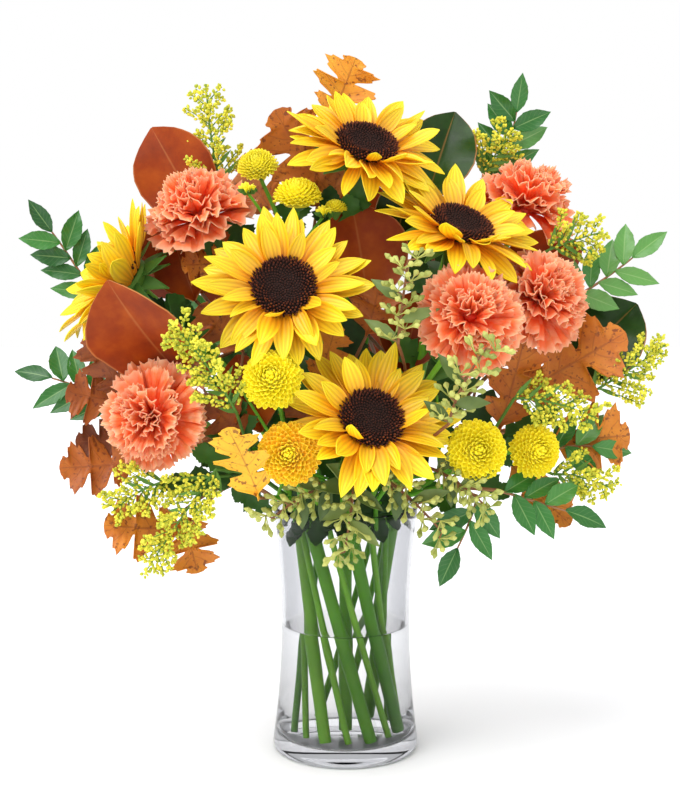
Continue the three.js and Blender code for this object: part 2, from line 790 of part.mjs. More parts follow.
function push(station, direction, amount) {
  if (!fixed.has(station)) station.addScaledVector(direction, amount);
}

function partPair(one, other) {
  const need = one.radius + other.radius + 2.2;
  for (let i = 1; i < one.stations.length; i++) {
    for (let j = 1; j < other.stations.length; j++) {
      const [a, b, c, d] = [one.stations[i - 1], one.stations[i], other.stations[j - 1], other.stations[j]];
      const room = need + (a.distanceTo(b) + c.distanceTo(d)) / 2;
      if (between(a, b, 0.5).distanceTo(between(c, d, 0.5)) > room) continue;
      const { s, t, apart } = closestApproach(a, b, c, d);
      const distance = apart.length();
      if (distance >= need || distance < 1e-6) continue;
      apart.divideScalar(distance);
      const amount = (need - distance) * 0.6;
      push(a, apart, amount * (1 - s));
      push(b, apart, amount * s);
      push(c, apart, -amount * (1 - t));
      push(d, apart, -amount * t);
    }
  }
}

// Bends the strands clear of one another and of the flower heads that aren't their own.
function partStrands(passes) {
  for (let pass = 0; pass < passes; pass++) {
    for (const { stations } of strands) {
      for (let i = 1; i < stations.length - 1; i++) {
        if (fixed.has(stations[i])) continue;
        stations[i].lerp(between(stations[i - 1], stations[i + 1], 0.5), 0.06);
      }
    }
    for (const [index, one] of strands.entries()) {
      for (const other of strands.slice(index + 1)) {
        if (other.owner !== one.owner) partPair(one, other);
      }
      for (const head of heads.filter((item) => item.owner !== one.owner)) {
        for (const station of one.stations) {
          const apart = station.clone().sub(head.at);
          const distance = apart.length();
          if (distance < head.radius) push(station, apart.normalize(), (head.radius - distance) * 0.5);
        }
      }
    }
  }
}

function strandSolid(strand, grow = 0) {
  return tube(strand.stations, strand.radius + grow, strand.sides);
}

// ---------- lay out every strand, then bend them clear ----------
for (const flower of SUNFLOWERS) {
  const end = behind(flower, 20);
  flowerStem(flower.name, flower.slot, end, vec(flower.faces).normalize(), 5.4, 5, 5);
  heads.push({ owner: flower.name, at: behind(flower, 8), radius: 34 });
}
for (const flower of CARNATIONS) {
  const end = behind(flower, 34);
  flowerStem(flower.name, flower.slot, end, vec(flower.faces).normalize(), 2.6, 5, 5);
  heads.push({ owner: flower.name, at: behind(flower, 10), radius: 30 });
}
for (const spray of POM_SPRAYS) {
  const fork = vec(spray.fork);
  flowerStem(spray.name, spray.slot, fork, UP, 2.4, 5, 3);
  fixed.delete(fork);
  for (const head of spray.heads) {
    const end = behind(head, 0.42 * head.radius + 4);
    fixed.add(end);
    const curve = curveStations(fork, UP, end, vec(head.faces).normalize(), 3);
    addStrand(spray.name, [fork, ...curve], 1.8, 4);
    heads.push({ owner: spray.name, at: vec(head.at), radius: head.radius });
  }
  for (const bud of spray.buds) {
    const end = vec(bud);
    fixed.add(end);
    addStrand(spray.name, [fork, between(fork, end, 0.5), end], 1.4, 4);
  }
  for (const leaf of spray.leaves) {
    sprayLimb(spray.name, fork, [leaf.base, leaf.tip], 1.4);
  }
}
const TWIG_SPRAYS = [
  ...HUCKLEBERRY.map((spray) => ({ spray, radius: 2, limb: 1.8 })),
  ...GOLDENROD.map((spray) => ({ spray, radius: 1.9, limb: 1.3 })),
  ...EUCALYPTUS.map((spray) => ({ spray, radius: 1.7, limb: 1.2, whole: true })),
];
for (const { spray, radius, limb, whole } of TWIG_SPRAYS) {
  const fork = sprayTrunk(spray, radius);
  spray.shown = spray.limbs.map((points) => sprayLimb(spray.name, fork, points, limb, whole));
}
for (const spray of [...OAK, ...MAGNOLIA]) {
  const fork = sprayTrunk(spray, 2);
  for (const leaf of spray.leaves) {
    sprayLimb(spray.name, fork, [leaf.base, leaf.tip], 1.5);
  }
}
partStrands(160);

// ---------- leaves ----------
const LEAF_FACE = [0.1, -0.9, 0.45];

function oakLeaf(leaf, grow = 0) {
  const [base, tip] = [vec(leaf.base), vec(leaf.tip)];
  const lobes = [0.12, 0.7, 0.36, 1, 0.42, 0.8, 0.08];
  const rows = lobes.length - 1;
  const form = {
    length: base.distanceTo(tip),
    halfWidth: (v) => leaf.width * lobes[Math.round(v * rows)],
    thickness: 1.1,
    rows,
    bend: 0.3,
  };
  return solidOf(blade(form, grow).applyMatrix4(growthFrame(base, tip.sub(base), vec(leaf.face))));
}

function magnoliaLeaf(leaf, grow = 0) {
  const [base, tip] = [vec(leaf.base), vec(leaf.tip)];
  const form = {
    length: base.distanceTo(tip),
    halfWidth: (v) => 0.8 + leaf.width * Math.pow(Math.sin(Math.PI * Math.pow(v * 0.97, 0.9)), 0.75),
    thickness: 1.3,
    rows: 4,
    columns: 2,
    bend: -0.35,
    fold: 0.35,
  };
  return solidOf(blade(form, grow).applyMatrix4(growthFrame(base, tip.sub(base), vec(leaf.face))));
}

// A point and direction on a limb's shown points, at `share` of the way from its base to its tip.
function onLimb(points, share) {
  const place = Math.min(share, 0.999) * (points.length - 1);
  const index = Math.floor(place);
  return {
    at: between(points[index], points[index + 1], place - index),
    along: points[index + 1].clone().sub(points[index]).normalize(),
  };
}

// A flat frond in one plate: leaves to either side of a limb's shown part and one at its tip.
const FROND = { leaf: 37, half: 9, lean: 0.9, rib: 1, first: 8, step: 11.5 };

function frondOutline(length, grow) {
  const { lean, rib } = FROND;
  const leaf = FROND.leaf + grow;
  const half = FROND.half + grow;
  const leafPoints = (at, side) =>
    [[0, rib], [0.32, half * 0.88], [0.68, half * 0.86], [1, 0], [0.5, -half], [0, -rib]].map(([v, out]) => {
      const [along, across] = [v * leaf, out];
      const s = at + along * Math.cos(lean) - across * Math.sin(lean);
      const w = along * Math.sin(lean) + across * Math.cos(lean);
      return [s, side * Math.max(w, rib)];
    });
  const sideOf = (side, firstAt) => {
    const points = [];
    for (let at = firstAt; at < length - 12; at += 2 * FROND.step) points.push(...leafPoints(at, side));
    return points;
  };
  const right = sideOf(1, FROND.first);
  const left = sideOf(-1, FROND.first + FROND.step);
  const tip = [[0, rib], [0.3, half * 0.8], [0.62, half], [1, 0]].map(([v, w]) => [length + v * leaf, w]);
  const tipBack = tip.slice(0, 3).reverse().map(([s, w]) => [s, -w]);
  return [[0, rib], ...right, ...tip, ...tipBack, ...left.reverse(), [0, -rib]];
}

function huckleberryFrond(points, face, grow = 0) {
  const spans = points.slice(1).map((point, i) => point.distanceTo(points[i]));
  const length = spans.reduce((sum, span) => sum + span, 0);
  const outline = frondOutline(length, grow).map(([s, w]) => new THREE.Vector2(s, w));
  const frond = plate(outline, 1.1 + 2 * grow);
  return solidOf(
    reshape(frond, (point) => {
      const [s, w] = [point.x, point.y];
      const droop = -0.0045 * w * w + 0.125 * Math.abs(w) * Math.sin(s / 9);
      const lift = point.z + droop;
      const { at, along } = onLimb(points, THREE.MathUtils.clamp(s / length, 0, 1));
      const out = Math.max(s - length, 0) + Math.min(s, 0);
      const sideways = face.clone().cross(along).normalize();
      const normal = along.clone().cross(sideways);
      point.copy(at).addScaledVector(along, out).addScaledVector(sideways, w).addScaledVector(normal, lift);
    }),
  );
}

// A tapered spindle along a list of points, with rows of florets standing out of it.
function floretSpindle(points, width, corners, rows, grow) {
  const spindle = new THREE.CylinderGeometry(1, 1, 1, corners, rows);
  reshape(spindle, (point) => {
    const v = point.y + 0.5;
    const row = Math.round(v * rows);
    const turn = (Math.atan2(point.z, point.x) * corners) / 2 + row * Math.PI;
    const taper = 0.3 + 0.7 * Math.sin(Math.PI * (0.12 + 0.8 * v));
    const swell = width * taper * (1 + 0.3 * Math.cos(turn)) + grow;
    const { at, along } = onLimb(points, v);
    const across = new THREE.Vector3(0.2, 1, 0.3).cross(along).normalize();
    const other = across.clone().cross(along);
    const [a, b] = [point.x * swell, point.z * swell];
    point.copy(at).addScaledVector(along, (2 * v - 1) * grow);
    point.addScaledVector(across, a).addScaledVector(other, b);
  });
  return solidOf(spindle);
}

// A goldenrod plume: a spindle along the limb, and sprigs that arch out to the sides.
function goldenrodPlume(points, grow = 0) {
  const solids = [floretSpindle(points, 9, 5, 6, grow)];
  for (const [side, share] of [[1, 0.15], [-1, 0.45]]) {
    const { at, along } = onLimb(points, share);
    const across = new THREE.Vector3(0.2, 1, 0.3).cross(along).normalize();
    const middle = at.clone().addScaledVector(along, 9).addScaledVector(across, 12 * side);
    const tip = middle.clone().addScaledVector(along, 6).addScaledVector(across, 13 * side);
    solids.push(floretSpindle([at, middle, tip], 6, 4, 3, grow));
  }
  return solids;
}

// A small plain leaf, as on eucalyptus and on the stems of the button chrysanthemums.
function stemLeaf(leaf, grow = 0) {
  const [base, tip] = [vec(leaf.base), vec(leaf.tip)];
  const form = {
    length: base.distanceTo(tip),
    halfWidth: (v) => 0.9 + leaf.width * Math.sin(Math.PI * Math.pow(v, 0.8)),
    thickness: 1,
    rows: 4,
    bend: 0.4,
  };
  return solidOf(blade(form, grow).applyMatrix4(growthFrame(base, tip.sub(base), vec(leaf.face))));
}

// Clusters of club-shaped seed capsules along a limb.
function eucalyptusClusters(points, grow = 0) {
  const solids = [];
  for (const [k, share] of [0.08, 0.52, 0.94].entries()) {
    const { at, along } = onLimb(points, share);
    for (let c = 0; c < 3; c++) {
      const turn = c * 2.09 + k * 1.1;
      const across = new THREE.Vector3(0.3, 1, 0.2).cross(along).normalize();
      const other = along.clone().cross(across);
      const out = across.multiplyScalar(Math.cos(turn)).addScaledVector(other, Math.sin(turn));
      const direction = along.clone().multiplyScalar(0.35).add(out);
      const capsule = new THREE.ConeGeometry(3.2 + grow, 13 + 2 * grow, 3).rotateX(Math.PI);
      capsule.translate(0, 7, 0);
      const face = Math.abs(direction.y) < 0.8 ? new THREE.Vector3(0, 1, 0) : new THREE.Vector3(1, 0, 0);
      solids.push(solidOf(capsule.applyMatrix4(growthFrame(at, direction, face))));
    }
  }
  return solids;
}

// ---------- assembly ----------
// Every finished piece leaves a slightly larger sleeve, which later pieces are cut clear of.
const parts = [];
const sleeves = [];

function addPart(name, solid, finish, anchor) {
  parts.push({ name, solid: largestBody(solid), finish, anchor });
}

const placed = (solid, flower) => solid.transform(facingFrame(flower.at, flower.faces).elements);
const ownStrands = (owner) => strands.filter((strand) => strand.owner === owner);
const stemSolids = (owner) => ownStrands(owner).map((strand) => strandSolid(strand));
const strandSleeves = strands.map((strand) => ({ owner: strand.owner, solid: strandSolid(strand, GAP) }));
const otherSleeves = (owner) => {
  const others = strandSleeves.filter((item) => item.owner !== owner).map((item) => item.solid);
  return [...others, ...sleeves];
};

// Flower stems with the green cups behind their flowers, and their leaves.
const cups = [];
function addCup(owner, cup) {
  cups.push({ owner, solid: cup(0), sleeve: cup(GAP) });
}
for (const flower of SUNFLOWERS) addCup(flower.name, (grow) => placed(sunflowerCalyx(grow), flower));
for (const flower of CARNATIONS) addCup(flower.name, (grow) => placed(carnationCalyx(grow), flower));
for (const spray of POM_SPRAYS) {
  for (const head of spray.heads) addCup(spray.name, (grow) => placed(pomCalyx(head.radius, grow), head));
  for (const bud of spray.buds) {
    addCup(spray.name, (grow) => solidOf(new THREE.SphereGeometry(6 + grow, 5, 3).translate(...bud)));
  }
}
for (const { name: owner, leaves = [] } of [...SUNFLOWERS, ...CARNATIONS, ...POM_SPRAYS]) {
  for (const leaf of leaves) addCup(owner, (grow) => stemLeaf(leaf, grow));
  const own = cups.filter((cup) => cup.owner === owner);
  const clearCups = own.map((cup) => cut(cup.solid, meeting(cup.solid, otherSleeves(owner))));
  const atRim = ownStrands(owner)[0].stations[1];
  addPart(`${owner}_stem`, join([...stemSolids(owner), ...clearCups]), 'stem', atRim);
  sleeves.push(...own.map((cup) => cup.sleeve));
}

// Blooms, each clear of every stem and of the blooms before it.
const clear = (solid) => cut(solid, meeting(solid, otherSleeves('any bloom')));
function addBloom(name, solid, finish, flower, room) {
  addPart(name, clear(placed(solid, flower)), finish, vec(flower.at));
  sleeves.push(placed(room, flower));
}

for (const spray of POM_SPRAYS) {
  for (const head of spray.heads) {
    addBloom(head.name, pomHead(head.radius), 'pom', head, pomRoom(head.radius));
  }
}
for (const flower of SUNFLOWERS) {
  addBloom(`${flower.name}_disc`, sunflowerDisc(), 'disc', flower, sunflowerDisc(GAP));
}
for (const flower of CARNATIONS) {
  addBloom(`${flower.name}_bloom`, carnationBloom(flower.seed), 'carnation', flower, carnationRoom());
}
for (const flower of SUNFLOWERS) {
  addBloom(`${flower.name}_rays`, sunflowerRays(flower.seed), 'rays', flower, sunflowerRoom());
}

// Sprays: the twigs stay whole, and their leaves, florets and capsules are cut clear of all else.
function addSpray(spray, finish, growthOf) {
  const others = otherSleeves(spray.name);
  const growth = growthOf(0).map((piece) => cut(piece, meeting(piece, others)));
  addPart(spray.name, join([...stemSolids(spray.name), ...growth]), finish, vec(spray.fork));
  sleeves.push(...growthOf(GAP));
}

for (const spray of MAGNOLIA) {
  addSpray(spray, 'magnolia', (grow) => spray.leaves.map((leaf) => magnoliaLeaf(leaf, grow)));
}
for (const spray of OAK) {
  addSpray(spray, 'oak', (grow) => spray.leaves.map((leaf) => oakLeaf(leaf, grow)));
}
for (const spray of HUCKLEBERRY) {
  const face = vec(spray.face ?? [0.1, -1, 0.45]);
  const fronds = (grow) => spray.shown.map((points) => huckleberryFrond(points, face, grow));
  addSpray(spray, 'huckleberry', fronds);
}
for (const spray of GOLDENROD) {
  addSpray(spray, 'goldenrod', (grow) => spray.shown.flatMap((points) => goldenrodPlume(points, grow)));
}
for (const spray of EUCALYPTUS) {
  addSpray(spray, 'eucalyptus', (grow) => [
    ...spray.shown.flatMap((points) => eucalyptusClusters(points, grow)),
    ...spray.leaves.map((leaf) => stemLeaf({ base: spray.fork, face: LEAF_FACE, ...leaf }, grow)),
  ]);
}

// ---------- the scene graph ----------
const vase = new THREE.Group();
const bouquet = new THREE.Group();

function meshOf({ name, solid, finish, anchor }) {
  const mesh = new THREE.Mesh(geometryOf(solid, anchor), COATS[finish]());
  mesh.name = name;
  mesh.position.copy(anchor);
  return mesh;
}

const rootStrands = strands.filter((strand) => strand.stations[0].z < WATER_LEVEL);
const stemHoles = rootStrands.map(({ stations: [foot, rim], radius, sides }) => {
  const start = foot.clone().lerp(rim, -0.04);
  return tube([start, rim], radius + GAP, sides);
});
vase.add(meshOf({ name: 'vase', solid: vaseSolid(), finish: 'glass', anchor: new THREE.Vector3() }));
const surface = new THREE.Vector3(0, 0, WATER_LEVEL);
const water = largestBody(waterSolid(stemHoles));
vase.add(meshOf({ name: 'water', solid: water, finish: 'water', anchor: surface }));
parts.forEach((part) => bouquet.add(meshOf(part)));

const filledVase = new THREE.Group();
filledVase.add(vase, bouquet);

export default filledVase;
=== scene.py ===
"""An autumn bouquet in a clear waisted glass vase of water: sunflowers, carnations, button
chrysanthemums, goldenrod, seeded eucalyptus, and leaves of oak, magnolia and huckleberry.

Shapes are worked out in millimetres in the part's own frame: +X to the right of the bouquet's
front, +Y behind it, +Z up, from the centre of the vase's underside.
"""

import math
import random
from types import SimpleNamespace

import bmesh
import bpy
import numpy as np
from mathutils import Matrix, Vector


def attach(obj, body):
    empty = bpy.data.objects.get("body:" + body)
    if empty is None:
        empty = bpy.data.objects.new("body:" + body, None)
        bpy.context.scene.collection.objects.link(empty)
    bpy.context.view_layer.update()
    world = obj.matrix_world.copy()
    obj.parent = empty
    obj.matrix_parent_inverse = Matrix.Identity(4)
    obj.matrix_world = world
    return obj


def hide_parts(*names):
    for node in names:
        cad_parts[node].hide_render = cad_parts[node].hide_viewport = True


bl_info = {
    "name": "Autumn bouquet",
    "version": (1, 0, 0),
    "blender": (4, 5, 0),
    "location": "3D View > Sidebar > Bouquet",
    "description": "Grows a bouquet of cut autumn flowers and leaves in a glass vase of water",
    "category": "Add Mesh",
}

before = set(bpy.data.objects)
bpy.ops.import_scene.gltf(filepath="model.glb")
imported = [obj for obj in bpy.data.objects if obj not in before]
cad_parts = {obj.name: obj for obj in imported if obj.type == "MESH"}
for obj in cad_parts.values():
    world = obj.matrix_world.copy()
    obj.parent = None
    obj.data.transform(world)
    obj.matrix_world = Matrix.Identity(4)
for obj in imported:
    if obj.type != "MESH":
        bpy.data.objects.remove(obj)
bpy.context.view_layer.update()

MM = 0.001
UP = Vector((0, 0, 1))
GOLDEN_TURN = math.pi * (3 - math.sqrt(5))
ANY_TURN = 6.3  # about a full turn, in radians, for random draws and waves

# ---------- the layout, in millimetres ----------
# Each flower: place, facing, its stem's slot in the ring, and the seed of its draws.
SUNFLOWERS = {
    "top": ((16, -4, 492), (0.22, -0.59, 0.78), "centre", 11),
    "right": ((90, -28, 428), (0.28, -0.5, 0.82), 9, 12),
    "middle": ((-47, -70, 382), (0, -0.87, 0.49), 4, 13),
    "low": ((19, -90, 284), (0.22, -0.77, 0.6), 6, 14),
    "left": ((-180, -6, 389), (-0.7, -0.39, 0.6), 2, 15),
}
CARNATIONS = {
    "1": ((-118, -6, 442), (-0.3, -0.45, 0.84), 0, 21),
    "2": ((-148, -70, 284), (-0.35, -0.92, 0.15), 3, 22),
    "3": ((93, -80, 361), (0.1, -0.9, 0.42), 7, 23),
    "4": ((154, -30, 374), (0.45, -0.7, 0.55), 10, 24),
    "5": ((150, 34, 451), (0.35, -0.3, 0.89), 11, 25),
}
# Each head: name, place, facing, radius, and a ripeness from greenish (0) to orange gold (1).
POM_SPRAYS = {
    "top": {
        "slot": 1,
        "fork": (-42, 8, 405),
        "heads": [
            ("pom_1", (-70, 2, 476), (-0.1, -0.6, 0.79), 17, 0.1),
            ("pom_2", (-38, -12, 452), (0, -0.3, 0.95), 20, 0.5),
            ("pom_3", (-8, -6, 443), (0.1, -0.2, 0.97), 9.5, 0.35),
        ],
        "buds": [(-77, -22, 455), (-17, -20, 437)],
        "leaves": [
            ((-66, 2, 392), (-120, 0, 418), 14, (-0.1, -0.95, 0.3)),
        ],
    },
    "middle": {
        "slot": 5,
        "fork": (-44, -50, 244),
        "heads": [
            ("pom_4", (-55, -97, 316), (-0.1, -0.9, 0.42), 24, 0.5),
            ("pom_5", (-42, -98, 260), (-0.1, -0.99, 0.1), 25, 0.9),
        ],
        "buds": [],
        "leaves": [
            ((-79, -56, 242), (-122, -60, 257), 13, (-0.1, -0.9, 0.4)),
            ((-81, -52, 234), (-145, -54, 225), 14, (-0.1, -0.9, 0.4)),
        ],
    },
    "right": {
        "slot": 8,
        "fork": (74, -45, 236),
        "heads": [
            ("pom_6", (99, -83, 260), (0.15, -0.97, 0.2), 24.5, 0.55),
            ("pom_7", (146, -58, 256), (0.4, -0.9, 0.15), 22, 0.6),
        ],
        "buds": [],
        "leaves": [
            ((98, -40, 236), (128, -44, 215), 13, (0.2, -0.9, 0.3)),
            ((122, -30, 260), (169, -30, 286), 14, (0.1, -0.9, 0.3)),
        ],
    },
}
# Sprays leave the neck at a radius and bearing, part at a fork, and carry leaves or limbs. A limb is
# given as three points that its frond, plume or row of capsules passes. Fronds face the front and
# have a middling tone from dark (0) to light, unless they say otherwise.
INNER = 23  # among the stems
OUTER = 50.3  # along the glass
FRONT = (0.1, -1, 0.45)
MIDDLING = 0.15
HUCKLEBERRY = {
    "left": {
        "tone": 0.0,
        "neck": (INNER, 178),
        "fork": (-95, 25, 292),
        "limbs": [
            [(-210, 66, 366), (-230, 66, 398), (-247, 62, 424)],
            [(-186, 8, 284), (-215, 10, 297), (-240, 14, 305)],
        ],
    },
    "top": {
        "neck": (INNER, 50),
        "fork": (82, 62, 350),
        "limbs": [[(128, 80, 459), (139, 78, 499), (144, 74, 524)]],
    },
    "right": {
        "tone": 0.3,
        "neck": (INNER, 10),
        "fork": (100, 20, 290),
        "limbs": [
            [(179, 12, 367), (207, 14, 384), (233, 16, 403)],
            [(161, -16, 249), (181, -20, 254), (197, -22, 254)],
        ],
    },
    "front": {
        "neck": (OUTER, -42),
        "fork": (76, -56, 228),
        "limbs": [
            [(102, -62, 221), (96, -66, 203), (86, -72, 182)],
            [(118, -58, 225), (143, -62, 218), (170, -64, 210)],
        ],
    },
    "back": {
        "face": (0, 1, 0.4),
        "neck": (OUTER, 92),
        "fork": (-5, 72, 262),
        "limbs": [
            [(48, 100, 318), (72, 118, 352), (96, 128, 384)],
            [(-58, 98, 300), (-88, 114, 326), (-120, 122, 352)],
        ],
    },
}
# Each leaf: base, tip, half width, facing, and how far it has turned from brown (0) to yellow (1).
OAK = {
    "left": {
        "neck": (INNER, -160),
        "fork": (-92, -6, 262),
        "leaves": [
            ((-178, -12, 293), (-205, -14, 344), 21, (-0.2, -0.95, 0.2), 0.0),
            ((-176, -6, 286), (-225, -10, 296), 24, (-0.1, -0.95, 0.25), 0.1),
            ((-169, 0, 255), (-219, -4, 255), 20, (-0.1, -0.95, 0.2), -0.1),
            ((-166, -10, 239), (-230, -14, 233), 26, (-0.1, -0.9, 0.35), 0.2),
            ((-81, -22, 330), (-117, -26, 367), 22, (-0.1, -0.95, 0.2), 0.15),
            ((-79, -34, 261), (-111, -38, 295), 22, (-0.1, -0.95, 0.2), 0.05),
            ((-118, 40, 292), (-166, 86, 318), 34, (-0.5, 0.4, 0.75), 0.3),
            ((-96, 48, 250), (-140, 92, 232), 32, (-0.4, 0.6, 0.7), 0.35),
        ],
    },
    "front": {
        "neck": (OUTER, -142),
        "fork": (-56, -62, 220),
        "leaves": [
            ((-124, -58, 194), (-188, -62, 195), 28, (-0.1, -0.85, 0.5), 0.4),
            ((-128, -52, 207), (-116, -58, 159), 23, (0.1, -0.9, 0.3), 0.5),
            ((-65, -92, 225), (-85, -104, 285), 25, (-0.3, -0.92, -0.2), 1.0),
        ],
    },
    "top": {
        "neck": (INNER, 118),
        "fork": (-30, 30, 400),
        "leaves": [
            ((-13, 60, 515), (10, 52, 567), 29, (0.1, -0.9, 0.4), 0.7),
            ((-3, 36, 440), (-61, 36, 521), 35, (0.1, -0.95, 0.2), 0.3),
            ((-92, -6, 400), (-131, -12, 396), 20, (-0.1, -0.95, 0.3), 0.4),
            ((-60, 60, 440), (-98, 88, 486), 28, (-0.3, 0.6, 0.6), 0.3),
        ],
    },
    "centre": {
        "neck": (INNER, -85),
        "fork": (4, -28, 318),
        "leaves": [
            ((16, -34, 343), (28, -44, 384), 24, (-0.2, -0.95, 0.2), 0.2),
            ((-23, -44, 305), (-4, -46, 355), 21, (-0.2, -0.9, 0.35), 0.5),
            ((-19, -34, 251), (-39, -36, 299), 21, (-0.2, -0.95, 0.2), 0.05),
        ],
    },
    "right": {
        "neck": (INNER, -22),
        "fork": (98, -12, 270),
        "leaves": [
            ((120, -40, 267), (143, -34, 346), 26, (-0.2, -0.95, 0.2), 0.35),
            ((130, -16, 291), (224, -8, 341), 36, (0.1, -0.9, 0.4), 0.4),
            ((163, -12, 258), (228, -14, 260), 31, (0.2, -0.9, 0.3), 0.5),
            ((128, -26, 244), (177, -30, 191), 21, (0.2, -0.95, 0.1), 0.5),
            ((112, 54, 300), (158, 96, 322), 32, (0.4, 0.5, 0.75), 0.3),
            ((98, 60, 256), (140, 100, 232), 32, (0.4, 0.6, 0.7), 0.25),
        ],
    },
}
# Each leaf: base, tip, half width, facing, and whether the glossy green side faces that way.
MAGNOLIA = {
    "left": {
        "neck": (INNER, 150),
        "fork": (-84, 24, 330),
        "leaves": [
            ((-129, -34, 313), (-179, -104, 376), 42, (-0.2, -0.8, -0.5), False),
            ((-114, 40, 430), (-162, 36, 510), 34, (-0.2, -0.95, 0.2), False),
            ((-121, 4, 369), (-141, 6, 421), 24, (-0.1, -0.95, 0.2), False),
            ((-67, -8, 265), (-88, -12, 326), 26, (-0.1, -0.95, 0.2), False),
            ((-70, 70, 350), (-122, 104, 424), 33, (-0.3, 0.85, 0.3), True),
            ((-120, 52, 372), (-190, 62, 420), 31, (-0.3, 0.8, 0.5), True),
        ],
    },
    "middle": {
        "neck": (INNER, 84),
        "fork": (18, 34, 340),
        "leaves": [
            ((18, 4, 365), (8, -8, 448), 38, (0.2, -0.95, 0.2), False),
            ((38, 24, 400), (54, 34, 473), 23, (0.1, -0.95, 0.2), True),
            ((45, -6, 312), (61, -10, 378), 28, (0, -0.95, 0.2), False),
            ((14, 76, 380), (8, 92, 474), 34, (0, 0.95, 0.2), True),
            ((-32, 92, 290), (-56, 128, 372), 32, (-0.1, 0.9, 0.4), False),
            ((40, 92, 282), (58, 130, 358), 32, (0.1, 0.9, 0.4), True),
        ],
    },
    "right": {
        "neck": (INNER, 26),
        "fork": (84, 28, 318),
        "leaves": [
            ((67, 58, 447), (91, 62, 527), 30, (-0.1, -0.95, 0.2), True),
            ((173, 10, 299), (238, 16, 371), 36, (0.1, -0.8, 0.6), True),
            ((66, 80, 352), (108, 106, 430), 33, (0.3, 0.85, 0.3), False),
            ((128, 56, 372), (196, 66, 416), 30, (0.3, 0.8, 0.5), True),
        ],
    },
}
# Each limb is a plume.
GOLDENROD = {
    "top": {
        "neck": (INNER, 136),
        "fork": (-58, 36, 370),
        "limbs": [[(-101, 32, 458), (-109, 31, 498), (-113, 28, 543)]],
    },
    "left": {
        "neck": (OUTER, -164),
        "fork": (-70, -46, 236),
        "limbs": [
            [(-82, -92, 290), (-104, -106, 329), (-130, -110, 359)],
            [(-99, -80, 245), (-126, -84, 207), (-155, -78, 163)],
            [(-137, -66, 234), (-160, -68, 225), (-181, -66, 209)],
        ],
    },
    "back": {
        "neck": (INNER, 36),
        "fork": (96, 30, 372),
        "limbs": [
            [(116, 66, 472), (127, 64, 490), (141, 62, 509)],
            [(164, 2, 410), (184, -2, 418), (205, -4, 424)],
        ],
    },
    "right": {
        "neck": (OUTER, -12),
        "fork": (110, -30, 256),
        "limbs": [
            [(197, -16, 297), (228, -16, 316), (255, -15, 335)],
            [(130, -58, 297), (162, -60, 293), (196, -56, 280)],
            [(164, -38, 234), (186, -40, 232), (212, -40, 222)],
        ],
    },
}
# Each limb is a row of capsules. Each leaf grows from the fork: tip, half width.
EUCALYPTUS = {
    "front": {
        "neck": (OUTER, -88),
        "fork": (14, -64, 232),
        "limbs": [
            [(-11, -74, 233), (-33, -80, 224), (-56, -84, 208)],
            [(6, -74, 230), (3, -80, 206), (-1, -80, 181)],
            [(29, -74, 237), (50, -84, 222), (73, -88, 198)],
        ],
        "leaves": [
            ((20, -84, 242), 9),
            ((-28, -82, 228), 8),
            ((-21, -86, 249), 8),
        ],
    },
    "right": {
        "neck": (OUTER, -62),
        "fork": (46, -62, 250),
        "limbs": [
            [(39, -86, 341), (42, -92, 373), (46, -96, 404)],
            [(76, -104, 283), (85, -114, 312), (102, -120, 341)],
            [(69, -72, 243), (87, -84, 234), (104, -90, 220)],
        ],
        "leaves": [
            ((47, -80, 251), 9),
            ((65, -70, 235), 8),
        ],
    },
}
# Limbs that go round behind what stands in front of them: the points they pass, by their end.
ROUTES = {
    (-124, -58, 194): [(-74, -52, 238), (-104, -50, 232)],
    (-128, -52, 207): [(-76, -46, 236), (-106, -46, 228)],
    (39, -86, 341): [(52, -34, 290), (47, -36, 330)],
}
# Chrysanthemum leaves that hang in the neck, from a radius and height down to another radius. Each
# leaf: bearing, height of the tip, half width.
NECK_LEAF_ROOT = (42, 226)
NECK_LEAF_TIP = 51.5
NECK_LEAVES = {
    "middle": [
        (-184, 190, 13), (-170, 180, 14), (-157, 188, 13), (-145, 174, 15),
        (-131, 184, 14), (-117, 178, 14), (-103, 190, 13), (-90, 184, 12),
    ],
    "right": [
        (-75, 192, 12), (-62, 180, 13), (-45, 188, 12), (-30, 190, 12), (-12, 180, 13), (2, 188, 12),
    ],
}
# Chrysanthemum leaves that fill the gaps among the flowers: base, tip, half width.
FILLER_FACE = (0, -1, 0.2)
FILLER_LEAVES = {
    "top": [
        ((-44, 22, 417), (-42, 27, 466), 17),
        ((-16, 26, 412), (-12, 30, 462), 15),
        ((-72, 20, 402), (-98, 22, 440), 15),
    ],
    "middle": [
        ((-6, -4, 300), (-12, 8, 366), 20),
        ((-104, 10, 326), (-146, 14, 374), 18),
        ((-70, -34, 226), (-120, -38, 258), 17),
        ((-76, -30, 246), (-92, -28, 300), 17),
        ((-58, -40, 206), (-92, -48, 226), 13),
        ((22, -30, 268), (18, -14, 330), 18),
        ((8, -12, 318), (8, -4, 374), 16),
    ],
    "right": [
        ((64, -18, 238), (52, -14, 304), 19),
        ((74, -14, 250), (84, -8, 312), 19),
        ((92, -20, 246), (118, -14, 300), 17),
        ((72, -30, 296), (86, -22, 348), 15),
        ((108, -36, 240), (140, -40, 262), 14),
        ((60, -34, 226), (88, -52, 206), 13),
    ],
}
# Flower stems run straight from the vase's floor to just over its rim. They stand in slots of a ring,
# and each turns round the vase by the twist, in degrees, on its way up.
RIM = 206
STEM_END = 14.2
RING_RADIUS = 41
RING_SLOTS = 14
RING_TWIST = 80
RING_START = -244
# The sprays are too short for the water, and end in the neck.
NECK_START = 188


# ---------- colours and nodes ----------
def linear(code):
    """The linear colour of an sRGB hex code."""
    parts = [int(code[k : k + 2], 16) / 255 for k in (1, 3, 5)]
    return (*(p / 12.92 if p <= 0.04045 else ((p + 0.055) / 1.055) ** 2.4 for p in parts), 1.0)


